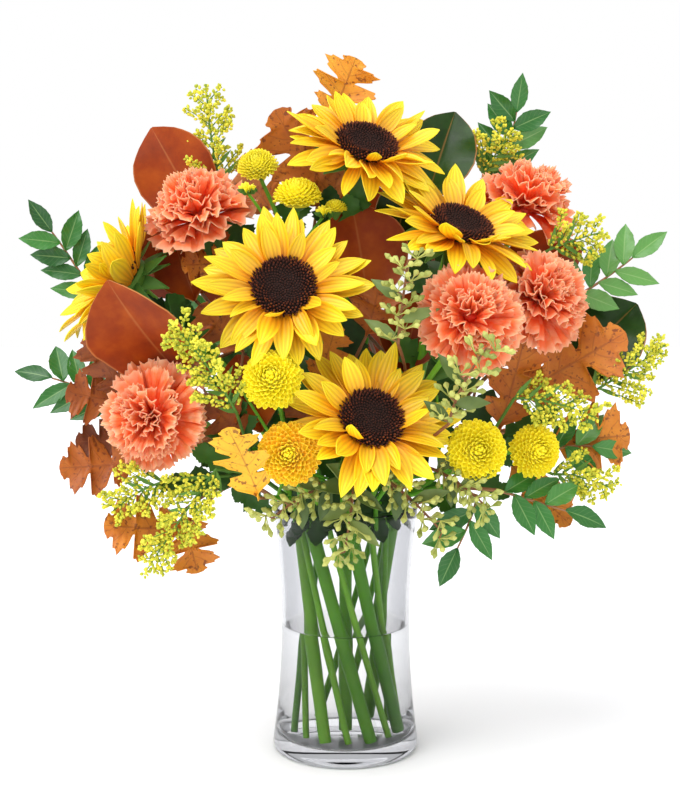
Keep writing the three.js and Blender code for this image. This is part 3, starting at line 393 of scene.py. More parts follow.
def fill(tree, sockets, values):
    """Sets these values on the inputs of a node; a value that is a socket is linked instead."""
    for key, value in values.items():
        if isinstance(value, bpy.types.NodeSocket):
            tree.links.new(value, sockets[key])
        else:
            sockets[key].default_value = value


def add_node(tree, kind, inputs=None, stops=None, **settings):
    """Adds a node with its properties, inputs, and the (place, hex code) stops of its ramp."""
    made = tree.nodes.new(kind)
    for key, value in settings.items():
        setattr(made, key, value)
    fill(tree, made.inputs, inputs or {})
    if stops:
        points = made.color_ramp.elements
        while len(points) < len(stops):
            points.new(1.0)
        for point, (at, code) in zip(points, stops):
            point.position = at
            point.color = linear(code)
    return made


def maths(tree, operation, *values):
    """The result of an operation on one to three values."""
    return add_node(tree, "ShaderNodeMath", dict(enumerate(values)), operation=operation).outputs[0]


def remap(tree, value, low, high, to_low=0.0, to_high=1.0):
    """A value carried from one range to another, and held inside it."""
    inputs = {"Value": value, "From Min": low, "From Max": high, "To Min": to_low, "To Max": to_high}
    return add_node(tree, "ShaderNodeMapRange", inputs).outputs[0]


def ramp(tree, value, *stops):
    """The colour at a value on a ramp."""
    return add_node(tree, "ShaderNodeValToRGB", {"Fac": value}, stops).outputs[0]


def mix(tree, factor, first, second, blend="MIX"):
    """Two colours mixed by a factor."""
    inputs = {"Factor": factor, "A": first, "B": second}
    return add_node(tree, "ShaderNodeMix", inputs, data_type="RGBA", blend_type=blend).outputs["Result"]


def bump(tree, height, strength, distance):
    """A normal that follows a height."""
    inputs = {"Height": height, "Strength": strength, "Distance": distance}
    return add_node(tree, "ShaderNodeBump", inputs).outputs[0]


def noise(tree, cells, detail, roughness=0.5):
    """A noise in the part's own space, with so many cells to the metre."""
    where = add_node(tree, "ShaderNodeTexCoord").outputs["Object"]
    inputs = {"Vector": where, "Scale": cells, "Detail": detail, "Roughness": roughness}
    return add_node(tree, "ShaderNodeTexNoise", inputs).outputs[0]


def own_height(tree):
    """The height in the part's own space, in metres."""
    where = add_node(tree, "ShaderNodeTexCoord").outputs["Object"]
    return add_node(tree, "ShaderNodeSeparateXYZ", {"Vector": where}).outputs["Z"]


def own_places(tree):
    """Sockets for a blade's own places, across, along and through, and for the tint of its copy."""
    place = add_node(tree, "ShaderNodeAttribute", attribute_name="place").outputs["Vector"]
    across, along, through = add_node(tree, "ShaderNodeSeparateXYZ", {"Vector": place}).outputs
    tint = add_node(tree, "ShaderNodeAttribute", attribute_name="tint").outputs["Fac"]
    return SimpleNamespace(across=across, along=along, through=through, tint=tint)


def new_material(name):
    """A material, its tree, and the inputs of the shader that is linked to its output."""
    material = bpy.data.materials.new(name)
    material.use_nodes = True
    tree = material.node_tree
    return material, tree, tree.nodes["Principled BSDF"].inputs


# ---------- forms: templates made by operators, then mapped into place ----------
FORMS = {}


def form_of(bm, places):
    """The faces of a bmesh as flat arrays, with each vertex's own place."""
    bm.verts.index_update()
    corners = [v.index for f in bm.faces for v in f.verts]
    sizes = [len(f.verts) for f in bm.faces]
    bm.free()
    return SimpleNamespace(places=places, corners=np.array(corners), sizes=np.array(sizes))


def sheet(columns, rows):
    """A closed thin sheet: places are across (-1 to 1), along (0 to 1) and through (0 or 1)."""
    key = ("sheet", columns, rows)
    if key not in FORMS:
        bm = bmesh.new()
        bmesh.ops.create_grid(bm, x_segments=columns, y_segments=rows, size=1)
        bmesh.ops.solidify(bm, geom=bm.faces[:], thickness=1)
        bmesh.ops.recalc_face_normals(bm, faces=bm.faces)
        places = np.array([v.co for v in bm.verts])
        places[:, 1] = (places[:, 1] + 1) / 2
        places[:, 2] -= places[:, 2].min()
        FORMS[key] = form_of(bm, places)
    return FORMS[key]


def sleeve(sides, rows):
    """A closed tube: places are its section's cosine and sine, and along (0 to 1)."""
    key = ("sleeve", sides, rows)
    if key not in FORMS:
        bm = bmesh.new()
        bmesh.ops.create_circle(bm, cap_ends=True, segments=sides, radius=1)
        end = bm.faces[:]
        for _ in range(rows):
            grown = bmesh.ops.extrude_face_region(bm, geom=end)["geom"]
            end = [g for g in grown if isinstance(g, bmesh.types.BMFace)]
            ring = [g for g in grown if isinstance(g, bmesh.types.BMVert)]
            bmesh.ops.translate(bm, verts=ring, vec=(0, 0, 1 / rows))
        bmesh.ops.recalc_face_normals(bm, faces=bm.faces)
        FORMS[key] = form_of(bm, np.array([v.co for v in bm.verts]))
    return FORMS[key]


def turned(profile, steps):
    """A closed shape turned about +Z from a profile of (radius, z) that starts and ends on the axis."""
    bm = bmesh.new()
    points = [bm.verts.new((radius, 0, z)) for radius, z in profile]
    edges = [bm.edges.new(pair) for pair in zip(points, points[1:])]
    bmesh.ops.spin(
        bm,
        geom=points + edges,
        cent=(0, 0, 0),
        axis=(0, 0, 1),
        angle=2 * math.pi,
        steps=steps,
        use_merge=True,
    )
    bmesh.ops.remove_doubles(bm, verts=bm.verts[:], dist=1e-4)
    bmesh.ops.recalc_face_normals(bm, faces=bm.faces[:])
    return form_of(bm, np.array([v.co for v in bm.verts]))


class Piece:
    """Gathers closed shapes into the mesh of one piece, which has one or more finishes."""

    def __init__(self, *finishes):
        self.finishes = finishes
        self.parts = []
        self.total = 0

    def add(self, form, points, paint=None, tint=0.5, matrix=None):
        """Adds a form with its vertices at these points, moved by the matrix, in one of the finishes."""
        if matrix is not None:
            turn = np.array(matrix)
            points = points @ turn[:3, :3].T + turn[:3, 3]
        faces = np.full(len(form.sizes), self.finishes.index(paint) if paint else 0)
        tints = np.full(len(points), tint)
        self.parts.append((points, form.corners + self.total, form.sizes, faces, form.places, tints))
        self.total += len(points)

    def add_turned(self, profile, steps, paint=None, tint=0.5, matrix=None):
        """Adds a closed shape turned about +Z from its profile."""
        form = turned(profile, steps)
        self.add(form, form.places, paint, tint, matrix)

    def finish(self, name, node, slot, sharp=40):
        """Makes the piece's object, which stands for a node of the part."""
        points, corners, sizes, paints, places, tints = (
            np.concatenate(column) for column in zip(*self.parts)
        )
        mesh = bpy.data.meshes.new(name)
        mesh.vertices.add(len(points))
        mesh.vertices.foreach_set("co", (points * MM).astype(np.float32).ravel())
        mesh.loops.add(len(corners))
        mesh.loops.foreach_set("vertex_index", corners.astype(np.int32))
        mesh.polygons.add(len(sizes))
        starts = np.concatenate([[0], np.cumsum(sizes)[:-1]])
        mesh.polygons.foreach_set("loop_start", starts.astype(np.int32))
        mesh.polygons.foreach_set("material_index", paints.astype(np.int32))
        mesh.polygons.foreach_set("use_smooth", np.ones(len(sizes), dtype=bool))
        place = mesh.attributes.new("place", "FLOAT_VECTOR", "POINT")
        place.data.foreach_set("vector", places.astype(np.float32).ravel())
        tint = mesh.attributes.new("tint", "FLOAT", "POINT")
        tint.data.foreach_set("value", tints.astype(np.float32))
        mesh.update(calc_edges=True)
        mesh.validate()
        mesh.set_sharp_from_angle(angle=math.radians(sharp))
        for key in self.finishes:
            mesh.materials.append(material_of(key))
        piece = bpy.data.objects.new(name, mesh)
        bpy.context.scene.collection.objects.link(piece)
        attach(piece, "root")
        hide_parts(node)
        return piece


def arc(length, rise, curl, along):
    """The heading, reach and height at places along a line that sets out at an angle and curls evenly."""
    heading = rise + curl * along
    out = length * (np.sin(heading) - np.sin(rise)) / curl
    high = length * (np.cos(rise) - np.cos(heading)) / curl
    return heading, out, high


def thickened(form, surface, thickness):
    """Points of a sheet laid over a surface, with half its thickness to either side."""
    across, along, through = form.places.T
    step = 1e-3
    side = surface(across + step, along) - surface(across - step, along)
    ahead = surface(across, along + step) - surface(across, along - step)
    normal = np.cross(side, ahead)
    normal /= np.linalg.norm(normal, axis=1, keepdims=True) + 1e-9
    return surface(across, along) + normal * ((through - 0.5) * thickness)[:, None]


def blade(form, length, half, outline, rise=0.0, curl=0.1, lift=None, thickness=0.5, lean=0.0):
    """Points of a blade rooted at the origin that grows along +Y with its face up.

    The outline gives its half width as a share at each place along it. It starts at the angle
    `rise`, turns by `curl` over its length, and `lift` moves it along its normal.
    """

    def surface(u, v):
        width = half * outline(v)
        heading, out, high = arc(length, rise, curl, v)
        out = out + lean * np.abs(u) * width
        bulge = lift(u, v) if lift else 0
        return np.stack([u * width, out - bulge * np.sin(heading), high + bulge * np.cos(heading)], axis=1)

    return thickened(form, surface, thickness)


def shares(*points):
    """A formula that runs through the given (place, share) points."""
    at, value = zip(*points)
    return lambda v: np.interp(v, at, value)


def tube(piece, path, radii, sides=8, paint=None, tint=0.5):
    """A closed round tube along a path of points; the radius runs evenly through the given radii."""
    path = np.array([tuple(p) for p in path], dtype=float)
    rows = len(path) - 1
    form = sleeve(sides, rows)
    ahead = np.gradient(path, axis=0)
    ahead /= np.linalg.norm(ahead, axis=1, keepdims=True) + 1e-9
    across = np.cross(ahead[0], (0.31, 0.87, 0.39))
    sections = []
    for k in range(rows + 1):
        across = across - ahead[k] * across.dot(ahead[k])
        across /= np.linalg.norm(across)
        sections.append((across, np.cross(ahead[k], across)))
    sections = np.array(sections)
    x, y, along = form.places.T
    index = np.rint(along * rows).astype(int)
    radius = np.interp(along, np.linspace(0, 1, len(radii)), radii)
    points = (
        path[index]
        + sections[index, 0] * (x * radius)[:, None]
        + sections[index, 1] * (y * radius)[:, None]
    )
    piece.add(form, points, paint, tint)


def frame_from(at, x, y, z):
    """The placement with these axes at a point."""
    turn = Matrix((x, y, z)).transposed().to_4x4()
    turn.translation = Vector(at)
    return turn


def facing_frame(at, facing):
    """The placement that turns +Z to the facing, with +Y as near to straight up as it can be."""
    z = Vector(facing).normalized()
    x = UP.cross(z).normalized()
    return frame_from(at, x, z.cross(x), z)


def growth_frame(base, along, face):
    """The placement of a blade that grows from the base along a direction with its face that way."""
    y = Vector(along).normalized()
    x = y.cross(Vector(face)).normalized()
    return frame_from(base, x, y, x.cross(y))


def ray_frame(radius, bearing, height, roll=0.0, sway=0.0):
    """The placement, about a flower's axis, of a petal rooted at a radius and growing outwards."""
    place = Matrix.Translation((radius * math.cos(bearing), radius * math.sin(bearing), height))
    turn = Matrix.Rotation(bearing - math.pi / 2 + sway, 4, "Z")
    return place @ turn @ Matrix.Rotation(roll, 4, "Y")


# ---------- paths of stems and twigs ----------
def polar(radius, bearing, z):
    """A point from its radius, bearing in degrees, and height."""
    turn = math.radians(bearing)
    return Vector((radius * math.cos(turn), radius * math.sin(turn), z))


# How hard a path is smoothed: the passes, and the shares of the way taken in each.
PASSES = 30
SMOOTHING = 0.3
PUSHING = 0.5


def all_heads():
    """Every flower head as its owner, centre and radius, for twigs to keep clear of."""
    heads = []
    for kind, layout, depth, radius in (
        ("sunflower", SUNFLOWERS, 8, 34),
        ("carnation", CARNATIONS, 10, 30),
    ):
        for name, (at, faces, _, _) in layout.items():
            heads.append((f"{kind}_{name}", Vector(at) - Vector(faces).normalized() * depth, radius))
    for name, spray in POM_SPRAYS.items():
        heads += [(f"pom_spray_{name}", Vector(at), radius) for _, at, _, radius, _ in spray["heads"]]
    return heads


HEADS = all_heads()


def eased(path, owner, held):
    """The path smoothed, and pushed clear of other flowers' heads; its ends stay where they are."""
    path = [Vector(p) for p in path]
    others = [(at, radius) for name, at, radius in HEADS if name != owner]
    for _ in range(PASSES):
        for k in range(held, len(path) - 1):
            path[k] = path[k].lerp((path[k - 1] + path[k + 1]) / 2, SMOOTHING)
            for at, radius in others:
                apart = path[k] - at
                if 1e-6 < apart.length < radius:
                    path[k] += apart.normalized() * (radius - apart.length) * PUSHING
    return path


def evenly(start, end, steps):
    """Points from one to the other in even steps."""
    return [start.lerp(end, k / steps) for k in range(steps + 1)]


def bend(start, lead, end, arrive, count):
    """Points on a curve that leaves the start along one direction and comes to the end along another."""
    reach = (start - end).length
    first = start + lead * reach * 0.35
    last = end - arrive * min(reach * 0.35, 70)
    points = []
    for k in range(1, count + 1):
        t = k / count
        s = 1 - t
        points.append(start * s**3 + first * 3 * s * s * t + last * 3 * s * t * t + end * t**3)
    return points


def flower_stem(owner, slot, end, arrive, count=14):
    """The path of a stem from the vase's floor, straight to the rim and then bent to its flower."""
    foot, rim = Vector((0, 0, STEM_END)), Vector((0, 0, RIM))
    if slot != "centre":
        bearing = RING_START + slot * 360 / RING_SLOTS
        foot = polar(RING_RADIUS, bearing + RING_TWIST, STEM_END)
        rim = polar(RING_RADIUS, bearing, RIM)
    straight = evenly(foot, rim, 8)
    bent = bend(rim, (rim - foot).normalized(), end, arrive, count)
    return eased(straight + bent, owner, held=len(straight))


def spray_trunk(owner, spray):
    """The path of a spray's trunk from the neck of the vase to its fork."""
    start = polar(*spray["neck"], NECK_START)
    rim = polar(*spray["neck"], RIM + 7)
    fork = Vector(spray["fork"])
    rise = evenly(start, rim, 3)
    return eased(rise + evenly(rim, fork, 8)[1:], owner, held=len(rise))


def spray_limb(owner, spray, base):
    """The path of a limb from the fork to where its leaf, frond or plume starts."""
    marks = [Vector(p) for p in (spray["fork"], *ROUTES.get(tuple(base), []), base)]
    steps = 6 if len(marks) == 2 else 4
    path = [point for a, b in zip(marks, marks[1:]) for point in evenly(a, b, steps)[:-1]]
    return eased([*path, marks[-1]], owner, held=1)


def on_limb(points, share):
    """The point at a share of the way along a limb's shown points, and the direction there."""
    place = min(max(share, 0), 0.999) * (len(points) - 1)
    index = int(place)
    first, second = Vector(points[index]), Vector(points[index + 1])
    return first.lerp(second, place - index), (second - first).normalized()


def path_length(path):
    """How long a path is."""
    return sum((b - a).length for a, b in zip(path, path[1:]))


def sideways_of(ahead, depth=(0.2, 1, 0.3)):
    """A direction square to a limb, in the plane that the bouquet's front shows."""
    return Vector(depth).cross(ahead).normalized()


def smooth_limb(points, count):
    """A smooth path through the three shown points of a limb."""
    a, b, c = (Vector(p) for p in points)
    pull = b * 2 - (a + c) / 2
    path = []
    for k in range(count + 1):
        t = k / count
        path.append(a * (1 - t) ** 2 + pull * 2 * t * (1 - t) + c * t * t)
    return path


# ---------- materials, named for the real surface ----------
def glass_material():
    # Pressed soda-lime glass: clear and bright, with its base colour painted a neutral grey where it is
    # seen edge on, as shade standing in for the dark edges of glass. The dry wall above the water, which
    # stands 104 mm up, is painted greyer than the wet wall under it, as more painted shade.
    material, tree, shader = new_material("clear_pressed_glass")
    edge = add_node(tree, "ShaderNodeLayerWeight", {"Blend": 0.5}).outputs["Facing"]
    wet_wall_edge_shade = ramp(
        tree, edge, (0.0, "#FBFBFB"), (0.15, "#F5F5F6"), (0.4, "#E7E8E9"), (0.8, "#D6D7DA"), (1.0, "#CCCDD0")
    )
    water_line_shade = ramp(
        tree, edge, (0.0, "#F8F8F9"), (0.15, "#EAEAEC"), (0.4, "#CFD0D2"), (0.8, "#C0C1C4"), (1.0, "#B8B9BC")
    )
    values = {
        "Base Color": mix(tree, remap(tree, own_height(tree), 0.103, 0.105), wet_wall_edge_shade, water_line_shade),
        "Roughness": 0.0,
        "IOR": 1.35,
        "Specular Tint": (0.25, 0.25, 0.25, 1.0),
        "Transmission Weight": 1.0,
    }
    fill(tree, shader, values)
    grey = add_node(tree, "ShaderNodeVolumeAbsorption", {"Color": linear("#F2F3F6"), "Density": 12.0})
    tree.links.new(grey.outputs[0], tree.nodes["Material Output"].inputs["Volume"])
    return material


def water_material():
    # Clean water: no colour of its own, and an index so low that stems run on unbroken under it.
    material, tree, shader = new_material("still_clear_water")
    values = {
        "Base Color": linear("#FFFFFF"),
        "Roughness": 0.0,
        "IOR": 1.1,
        "Specular Tint": (0.2, 0.2, 0.2, 1.0),
        "Transmission Weight": 1.0,
    }
    fill(tree, shader, values)
    return material


def sunflower_petal_material():
    # Sunflower ray: thin waxy petal, orange at its root, lemon at its tip, with lengthwise pleats.
    material, tree, shader = new_material("sunflower_ray_petal")
    petal = own_places(tree)
    hue = ramp(
        tree, petal.along, (0.0, "#E8820A"), (0.24, "#F9A812"), (0.54, "#FFCA16"), (1.0, "#FFE61E")
    )
    # Pleats 3 to 4 mm wide, with painted shade in their folds.
    pleat = maths(tree, "COSINE", maths(tree, "MULTIPLY", petal.across, 14.0))
    shade = remap(tree, pleat, -1.0, 1.0, 0.82, 1.08)
    copy = remap(tree, petal.tint, 0.0, 1.0, 0.84, 1.12)
    values = {
        "Base Color": mix(tree, 1.0, hue, maths(tree, "MULTIPLY", shade, copy), "MULTIPLY"),
        "Normal": bump(tree, pleat, 0.35, 0.0004),
        "Roughness": 0.5,
        "Subsurface Weight": 0.25,
        "Subsurface Radius": (1.0, 0.75, 0.1),
        "Subsurface Scale": 0.0015,
    }
    fill(tree, shader, values)
    return material


def disc_material():
    # Sunflower disc: dry dark florets, almost black in the middle, with rusty tips round the edge.
    # Each floret is painted darker towards its foot, as shade between the florets.
    material, tree, shader = new_material("sunflower_disc_florets")
    floret = own_places(tree)
    rust_and_shade = maths(tree, "MULTIPLY", remap(tree, floret.through, 0.4, 1.0), floret.tint)
    hue = ramp(tree, rust_and_shade, (0.0, "#260F05"), (0.35, "#521E0A"), (0.75, "#8C4212"), (1.0, "#C88424"))
    fill(tree, shader, {"Base Color": hue, "Roughness": 0.85})
    return material


def carnation_petal_material():
    # Carnation petal: papery coral, paler along its toothed edge, and painted a deeper coral towards
    # its root, as shade in the folds deep in the bloom.
    material, tree, shader = new_material("coral_carnation_petal")
    petal = own_places(tree)
    hue = ramp(
        tree, petal.along, (0.0, "#EE3A0E"), (0.5, "#FF662C"), (0.86, "#FF8248"), (1.0, "#FFB68E")
    )
    # Painted highlights: paler patches 5 to 10 mm wide.
    pale = remap(tree, noise(tree, 130.0, 3.0), 0.45, 0.75, 0.0, 0.6)
    highlighted = mix(tree, pale, hue, linear("#FFB690"))
    copy = remap(tree, petal.tint, 0.0, 1.0, 0.88, 1.15)
    values = {
        "Base Color": mix(tree, 1.0, highlighted, copy, "MULTIPLY"),
        "Roughness": 0.6,
        "Subsurface Weight": 0.45,
        "Subsurface Radius": (1.0, 0.45, 0.2),
        "Subsurface Scale": 0.002,
    }
    fill(tree, shader, values)
    return material


def pom_floret_material():
    # Button chrysanthemum floret: waxy yellow; the copies run from greenish through yellow to gold.
    material, tree, shader = new_material("button_chrysanthemum_floret")
    floret = own_places(tree)
    stops = (0.0, "#ECE040"), (0.3, "#FFF034"), (0.6, "#FFEE32"), (0.85, "#FFD834"), (1.0, "#FFC638")
    # Painted shade: each floret is darker towards its foot among the others and lighter at its tip.
    depth = remap(tree, floret.along, 0.0, 1.0, 0.8, 1.25)
    values = {
        "Base Color": mix(tree, 1.0, ramp(tree, floret.tint, *stops), depth, "MULTIPLY"),
        "Roughness": 0.5,
        "Subsurface Weight": 0.2,
        "Subsurface Radius": (1.0, 0.8, 0.1),
        "Subsurface Scale": 0.0015,
    }
    fill(tree, shader, values)
    return material


def leaf_lines(tree, leaf, lean, turns, vein, rib):
    """Side veins that lean towards the tip, and the midrib, from the ranges that each is remapped by."""
    distance = maths(tree, "ABSOLUTE", leaf.across)
    slant = maths(tree, "MULTIPLY_ADD", distance, -lean, leaf.along)
    stripes = maths(tree, "COSINE", maths(tree, "MULTIPLY", slant, turns))
    return maths(tree, "MAXIMUM", remap(tree, stripes, *vein), remap(tree, distance, *rib))


def oak_leaf_material():
    # Dried oak leaf: thin leathery blade, rust brown to orange, with dark veins and blotches.
    material, tree, shader = new_material("dried_oak_leaf")
    leaf = own_places(tree)
    blotched = maths(tree, "MULTIPLY_ADD", noise(tree, 55.0, 6.0, 0.65), 0.75, leaf.tint)
    stops = (0.0, "#6A3010"), (0.2, "#9C4E16"), (0.42, "#C06A1A"), (0.68, "#E09022"), (1.0, "#FBBE2A")
    skin = ramp(tree, remap(tree, blotched, 0.2, 1.4), *stops)
    # Dark freckles 1 to 2 mm wide.
    freckle = remap(tree, noise(tree, 260.0, 2.0), 0.59, 0.67, 0.0, 0.75)
    freckled = mix(tree, freckle, skin, linear("#6E2E10"))
    # Side veins about every 8 mm.
    lines = leaf_lines(tree, leaf, 0.16, 44.0, (0.92, 1.0, 0.0, 0.35), (0.0, 0.06, 0.6, 0.0))
    values = {
        "Base Color": mix(tree, lines, freckled, linear("#8A4416")),
        "Normal": bump(tree, lines, 0.5, 0.0006),
        "Roughness": 0.55,
        "Subsurface Weight": 0.1,
        "Subsurface Scale": 0.0015,
    }
    fill(tree, shader, values)
    return material


def magnolia_leaf_material():
    # Magnolia leaf: one side dark green and glossy, the other rusty felt, both with a pale rim.
    material, tree, shader = new_material("magnolia_leaf")
    leaf = own_places(tree)
    felt = noise(tree, 22.0, 5.0, 0.6)
    rust = ramp(tree, felt, (0.3, "#742608"), (0.5, "#963A0A"), (0.7, "#B45410"))
    green = ramp(tree, felt, (0.3, "#1C3210"), (0.7, "#345420"))
    # The tint tells which face is green: the far one at 0 and the near one at 1.
    apart = maths(tree, "ABSOLUTE", maths(tree, "SUBTRACT", leaf.through, leaf.tint))
    rusty = maths(tree, "GREATER_THAN", apart, 0.5)
    distance = maths(tree, "ABSOLUTE", leaf.across)
    rib = remap(tree, distance, 0.0, 0.04, 0.3, 0.0)
    rim = remap(tree, distance, 0.96, 1.0, 0.0, 0.7)
    pale = maths(tree, "MAXIMUM", rib, rim)
    values = {
        "Base Color": mix(tree, pale, mix(tree, rusty, green, rust), linear("#D08A4E")),
        "Normal": bump(tree, felt, 0.25, 0.001),
        "Roughness": remap(tree, rusty, 0.0, 1.0, 0.22, 0.5),
        "Specular IOR Level": 0.2,
    }
    fill(tree, shader, values)
    return material


def huckleberry_leaf_material():
    # Huckleberry leaf: firm glossy green with a pale midrib, and side veins about every 5 mm.
    material, tree, shader = new_material("glossy_huckleberry_leaf")
    leaf = own_places(tree)
    skin = ramp(tree, leaf.tint, (0.0, "#1C5420"), (0.5, "#387E30"), (1.0, "#78AC58"))
    lines = leaf_lines(tree, leaf, 0.22, 50.0, (0.85, 1.0, 0.0, 0.12), (0.02, 0.08, 0.5, 0.0))
    fill(tree, shader, {"Base Color": mix(tree, lines, skin, linear("#9CC07A")), "Roughness": 0.35})
    return material


def mottled(tree, dark, light, cells=160.0):
    """A colour that runs from dark to light with the tint of the copy, mottled by a noise."""
    level = maths(tree, "MULTIPLY_ADD", noise(tree, cells, 3.0), 0.5, own_places(tree).tint)
    return ramp(tree, remap(tree, level, 0.2, 1.2), (0.0, dark), (1.0, light))


def green_stem_material():
    # Herbaceous stem: smooth, juicy green skin with paler patches. Under the water, which stands
    # 104 mm up, the skin is painted a deeper green, as painted shade.
    material, tree, shader = new_material("fresh_green_stem_skin")
    water_line_shade = remap(tree, own_height(tree), 0.09, 0.115, 0.72, 1.0)
    values = {
        "Base Color": mix(tree, 1.0, mottled(tree, "#3E9012", "#8ACB3E", 60.0), water_line_shade, "MULTIPLY"),
        "Roughness": 0.42,
        "Specular IOR Level": 0.25,
        "Subsurface Weight": 0.1,
        "Subsurface Scale": 0.002,
    }
    fill(tree, shader, values)
    return material


MATERIALS = {
    "glass": glass_material,
    "water": water_material,
    "ray": sunflower_petal_material,
    "disc": disc_material,
    "stem": green_stem_material,
    "carnation": carnation_petal_material,
    "pom": pom_floret_material,
    "oak": oak_leaf_material,
    "magnolia": magnolia_leaf_material,
    "huckleberry": huckleberry_leaf_material,
}
# Plain matte surfaces: name, dark and light colour, and roughness.
MATTE_MATERIALS = {
    # Sunflower bracts and calyx tubes: downy mid green.
    "bract": ("downy_green_bract", "#35691C", "#6C9A38", 0.65),
    # Young woody twig: smooth tan bark with a reddish cast.
    "twig": ("tan_twig_bark", "#6E3E24", "#B07A4E", 0.6),
    # Goldenrod florets: tiny matte yellow tufts, green where they are still buds.
    "goldenrod": ("goldenrod_florets", "#AAB62E", "#FAEE4A", 0.75),
    # Eucalyptus seed capsule: hard skin with a pale waxy bloom.
    "capsule": ("eucalyptus_capsule_skin", "#8A9640", "#CDD070", 0.55),
    # Eucalyptus leaf: dull grey green.
    "eucalyptus": ("dull_eucalyptus_leaf", "#46602A", "#7E9048", 0.5),
    # Chrysanthemum leaf: soft and matte, painted a near-black deep green as shade, for leaves
    # that sit deep among the flowers and in the neck.
    "dark_leaf": ("chrysanthemum_leaf", "#183C0E", "#3F7420", 0.6),
}
MADE = {}


def matte_material(name, dark, light, roughness):
    """A matte plant surface, mottled between two colours."""
    material, tree, shader = new_material(name)
    fill(tree, shader, {"Base Color": mottled(tree, dark, light), "Roughness": roughness})
    return material


def material_of(key):
    """The material for a finish, made when it is first asked for."""
    if key not in MADE:
        MADE[key] = MATERIALS[key]() if key in MATERIALS else matte_material(*MATTE_MATERIALS[key])
    return MADE[key]


# ---------- flowers ----------
RAY_OUTLINE = shares(
    (0, 0.36), (0.1, 0.52), (0.28, 0.86), (0.44, 1), (0.6, 0.96), (0.76, 0.77), (0.88, 0.49), (0.96, 0.2),
    (1, 0.03),
)
# Each whorl of rays: petals, root radius, length, half width, rise, and height against the flower's
# own place.
RAY_WHORLS = [
    (18, 19, 50, 8.2, 0.02, -3.4),
    (16, 18, 47, 8.0, 0.24, -2.4),
    (10, 17, 37, 6.8, 0.5, -1.4),
]


def grow_rays(piece, frame_at, draw, closed):
    """Adds the whorls of a sunflower's petals, closed over the disc on one side as far as is given."""
    form = sheet(8, 12)
    for count, root, length, half, rise, height in RAY_WHORLS:
        for k in range(count):
            bearing = (k + draw.uniform(-0.25, 0.25) + 0.5 * rise) * 2 * math.pi / count
            pleats = draw.uniform(0.35, 0.7)
            phase = draw.uniform(0, 6)
            wave = draw.uniform(0.2, 1.8)
            twist = draw.gauss(0, 0.35) * half
            low = max(-math.sin(bearing), 0) * draw.random()
            over = max(math.cos(bearing - 0.2), 0) * closed

            def lift(u, v, pleats=pleats, phase=phase, wave=wave, twist=twist):
                folds = pleats * np.cos(2 * np.pi * u) * (1 - 0.6 * v) + 1.8 * u * u + twist * u * v * v
                return folds * RAY_OUTLINE(v) + wave * np.sin(4.5 * v + phase) * v

            points = blade(
                form,
                length * draw.uniform(0.86, 1.06),
                half * draw.uniform(0.8, 1.15),
                RAY_OUTLINE,
                rise=rise + draw.uniform(-0.16, 0.16) + 0.25 * low + 0.9 * over,
                curl=draw.uniform(-0.5, 0.45)
                + draw.choice((-0.9, 0.3)) * low * (1 - over)
                + 0.5 * over
                + 0.01,
                lift=lift,
                thickness=0.6,
            )
            roll = draw.uniform(-0.38, 0.38)
            level = height + draw.uniform(-0.6, 0.6)
            place = ray_frame(root, bearing, level, roll, draw.uniform(-0.12, 0.12))
            piece.add(form, points, tint=draw.random(), matrix=frame_at @ place)


DISC_RADIUS = 25
DISC_FLORETS = 430


def grow_disc(piece, frame_at, draw):
    """Adds a sunflower's disc: a low cushion covered with florets in a spiral."""
    edge, count = DISC_RADIUS, DISC_FLORETS
    cushion = [(0, 0.5), (edge - 5, 0.3), (edge - 1.5, 3), (edge * 0.72, 5.6), (edge * 0.36, 4.2), (0, 3.6)]
    # The cushion under the florets takes the darkest colour: painted shade in the gaps between them.
    piece.add_turned(cushion, 32, tint=0.0, matrix=frame_at)
    form = sleeve(5, 3)
    x, y, along = form.places.T
    swell = shares((0, 0.7), (0.4, 1.0), (0.7, 0.75), (1, 0.06))(along)
    base = np.stack([x * swell, y * swell, along], axis=1)
    surface = shares((0, 3.2), (0.36 * edge, 3.9), (0.72 * edge, 5.3), (edge - 2, 3.4), (edge, 1.2))
    for k in range(count):
        radius = (edge - 0.6) * math.sqrt((k + 0.5) / count)
        bearing = k * GOLDEN_TURN
        ring = min(max((radius / edge - 0.5) / 0.25, 0), 1)
        tall = 1.9 + 2.1 * ring + draw.uniform(-0.4, 0.5)
        wide = 0.95 + 0.2 * draw.random()
        outward = 0.9 * max(radius / edge - 0.62, 0) / 0.38
        direction = Vector((math.cos(bearing), math.sin(bearing), 0)) * outward + UP
        direction += Vector((draw.uniform(-0.2, 0.2), draw.uniform(-0.2, 0.2), 0))
        z = direction.normalized()
        across = z.orthogonal().normalized()
        at = (radius * math.cos(bearing), radius * math.sin(bearing), float(surface(radius)))
        place = frame_from(at, across, z.cross(across), z)
        rust_and_shade = (0.25 + 0.75 * ring) * draw.uniform(0.3, 1.0)
        piece.add(form, base * (wide, wide, tall), tint=rust_and_shade, matrix=frame_at @ place)


# Each whorl of bracts: their count, root radius, length, height and rise.
BRACT_WHORLS = [(9, 16, 31, -8.5, -0.15), (8, 13, 26, -12.5, -0.5)]
BRACT_HALF = 6.4


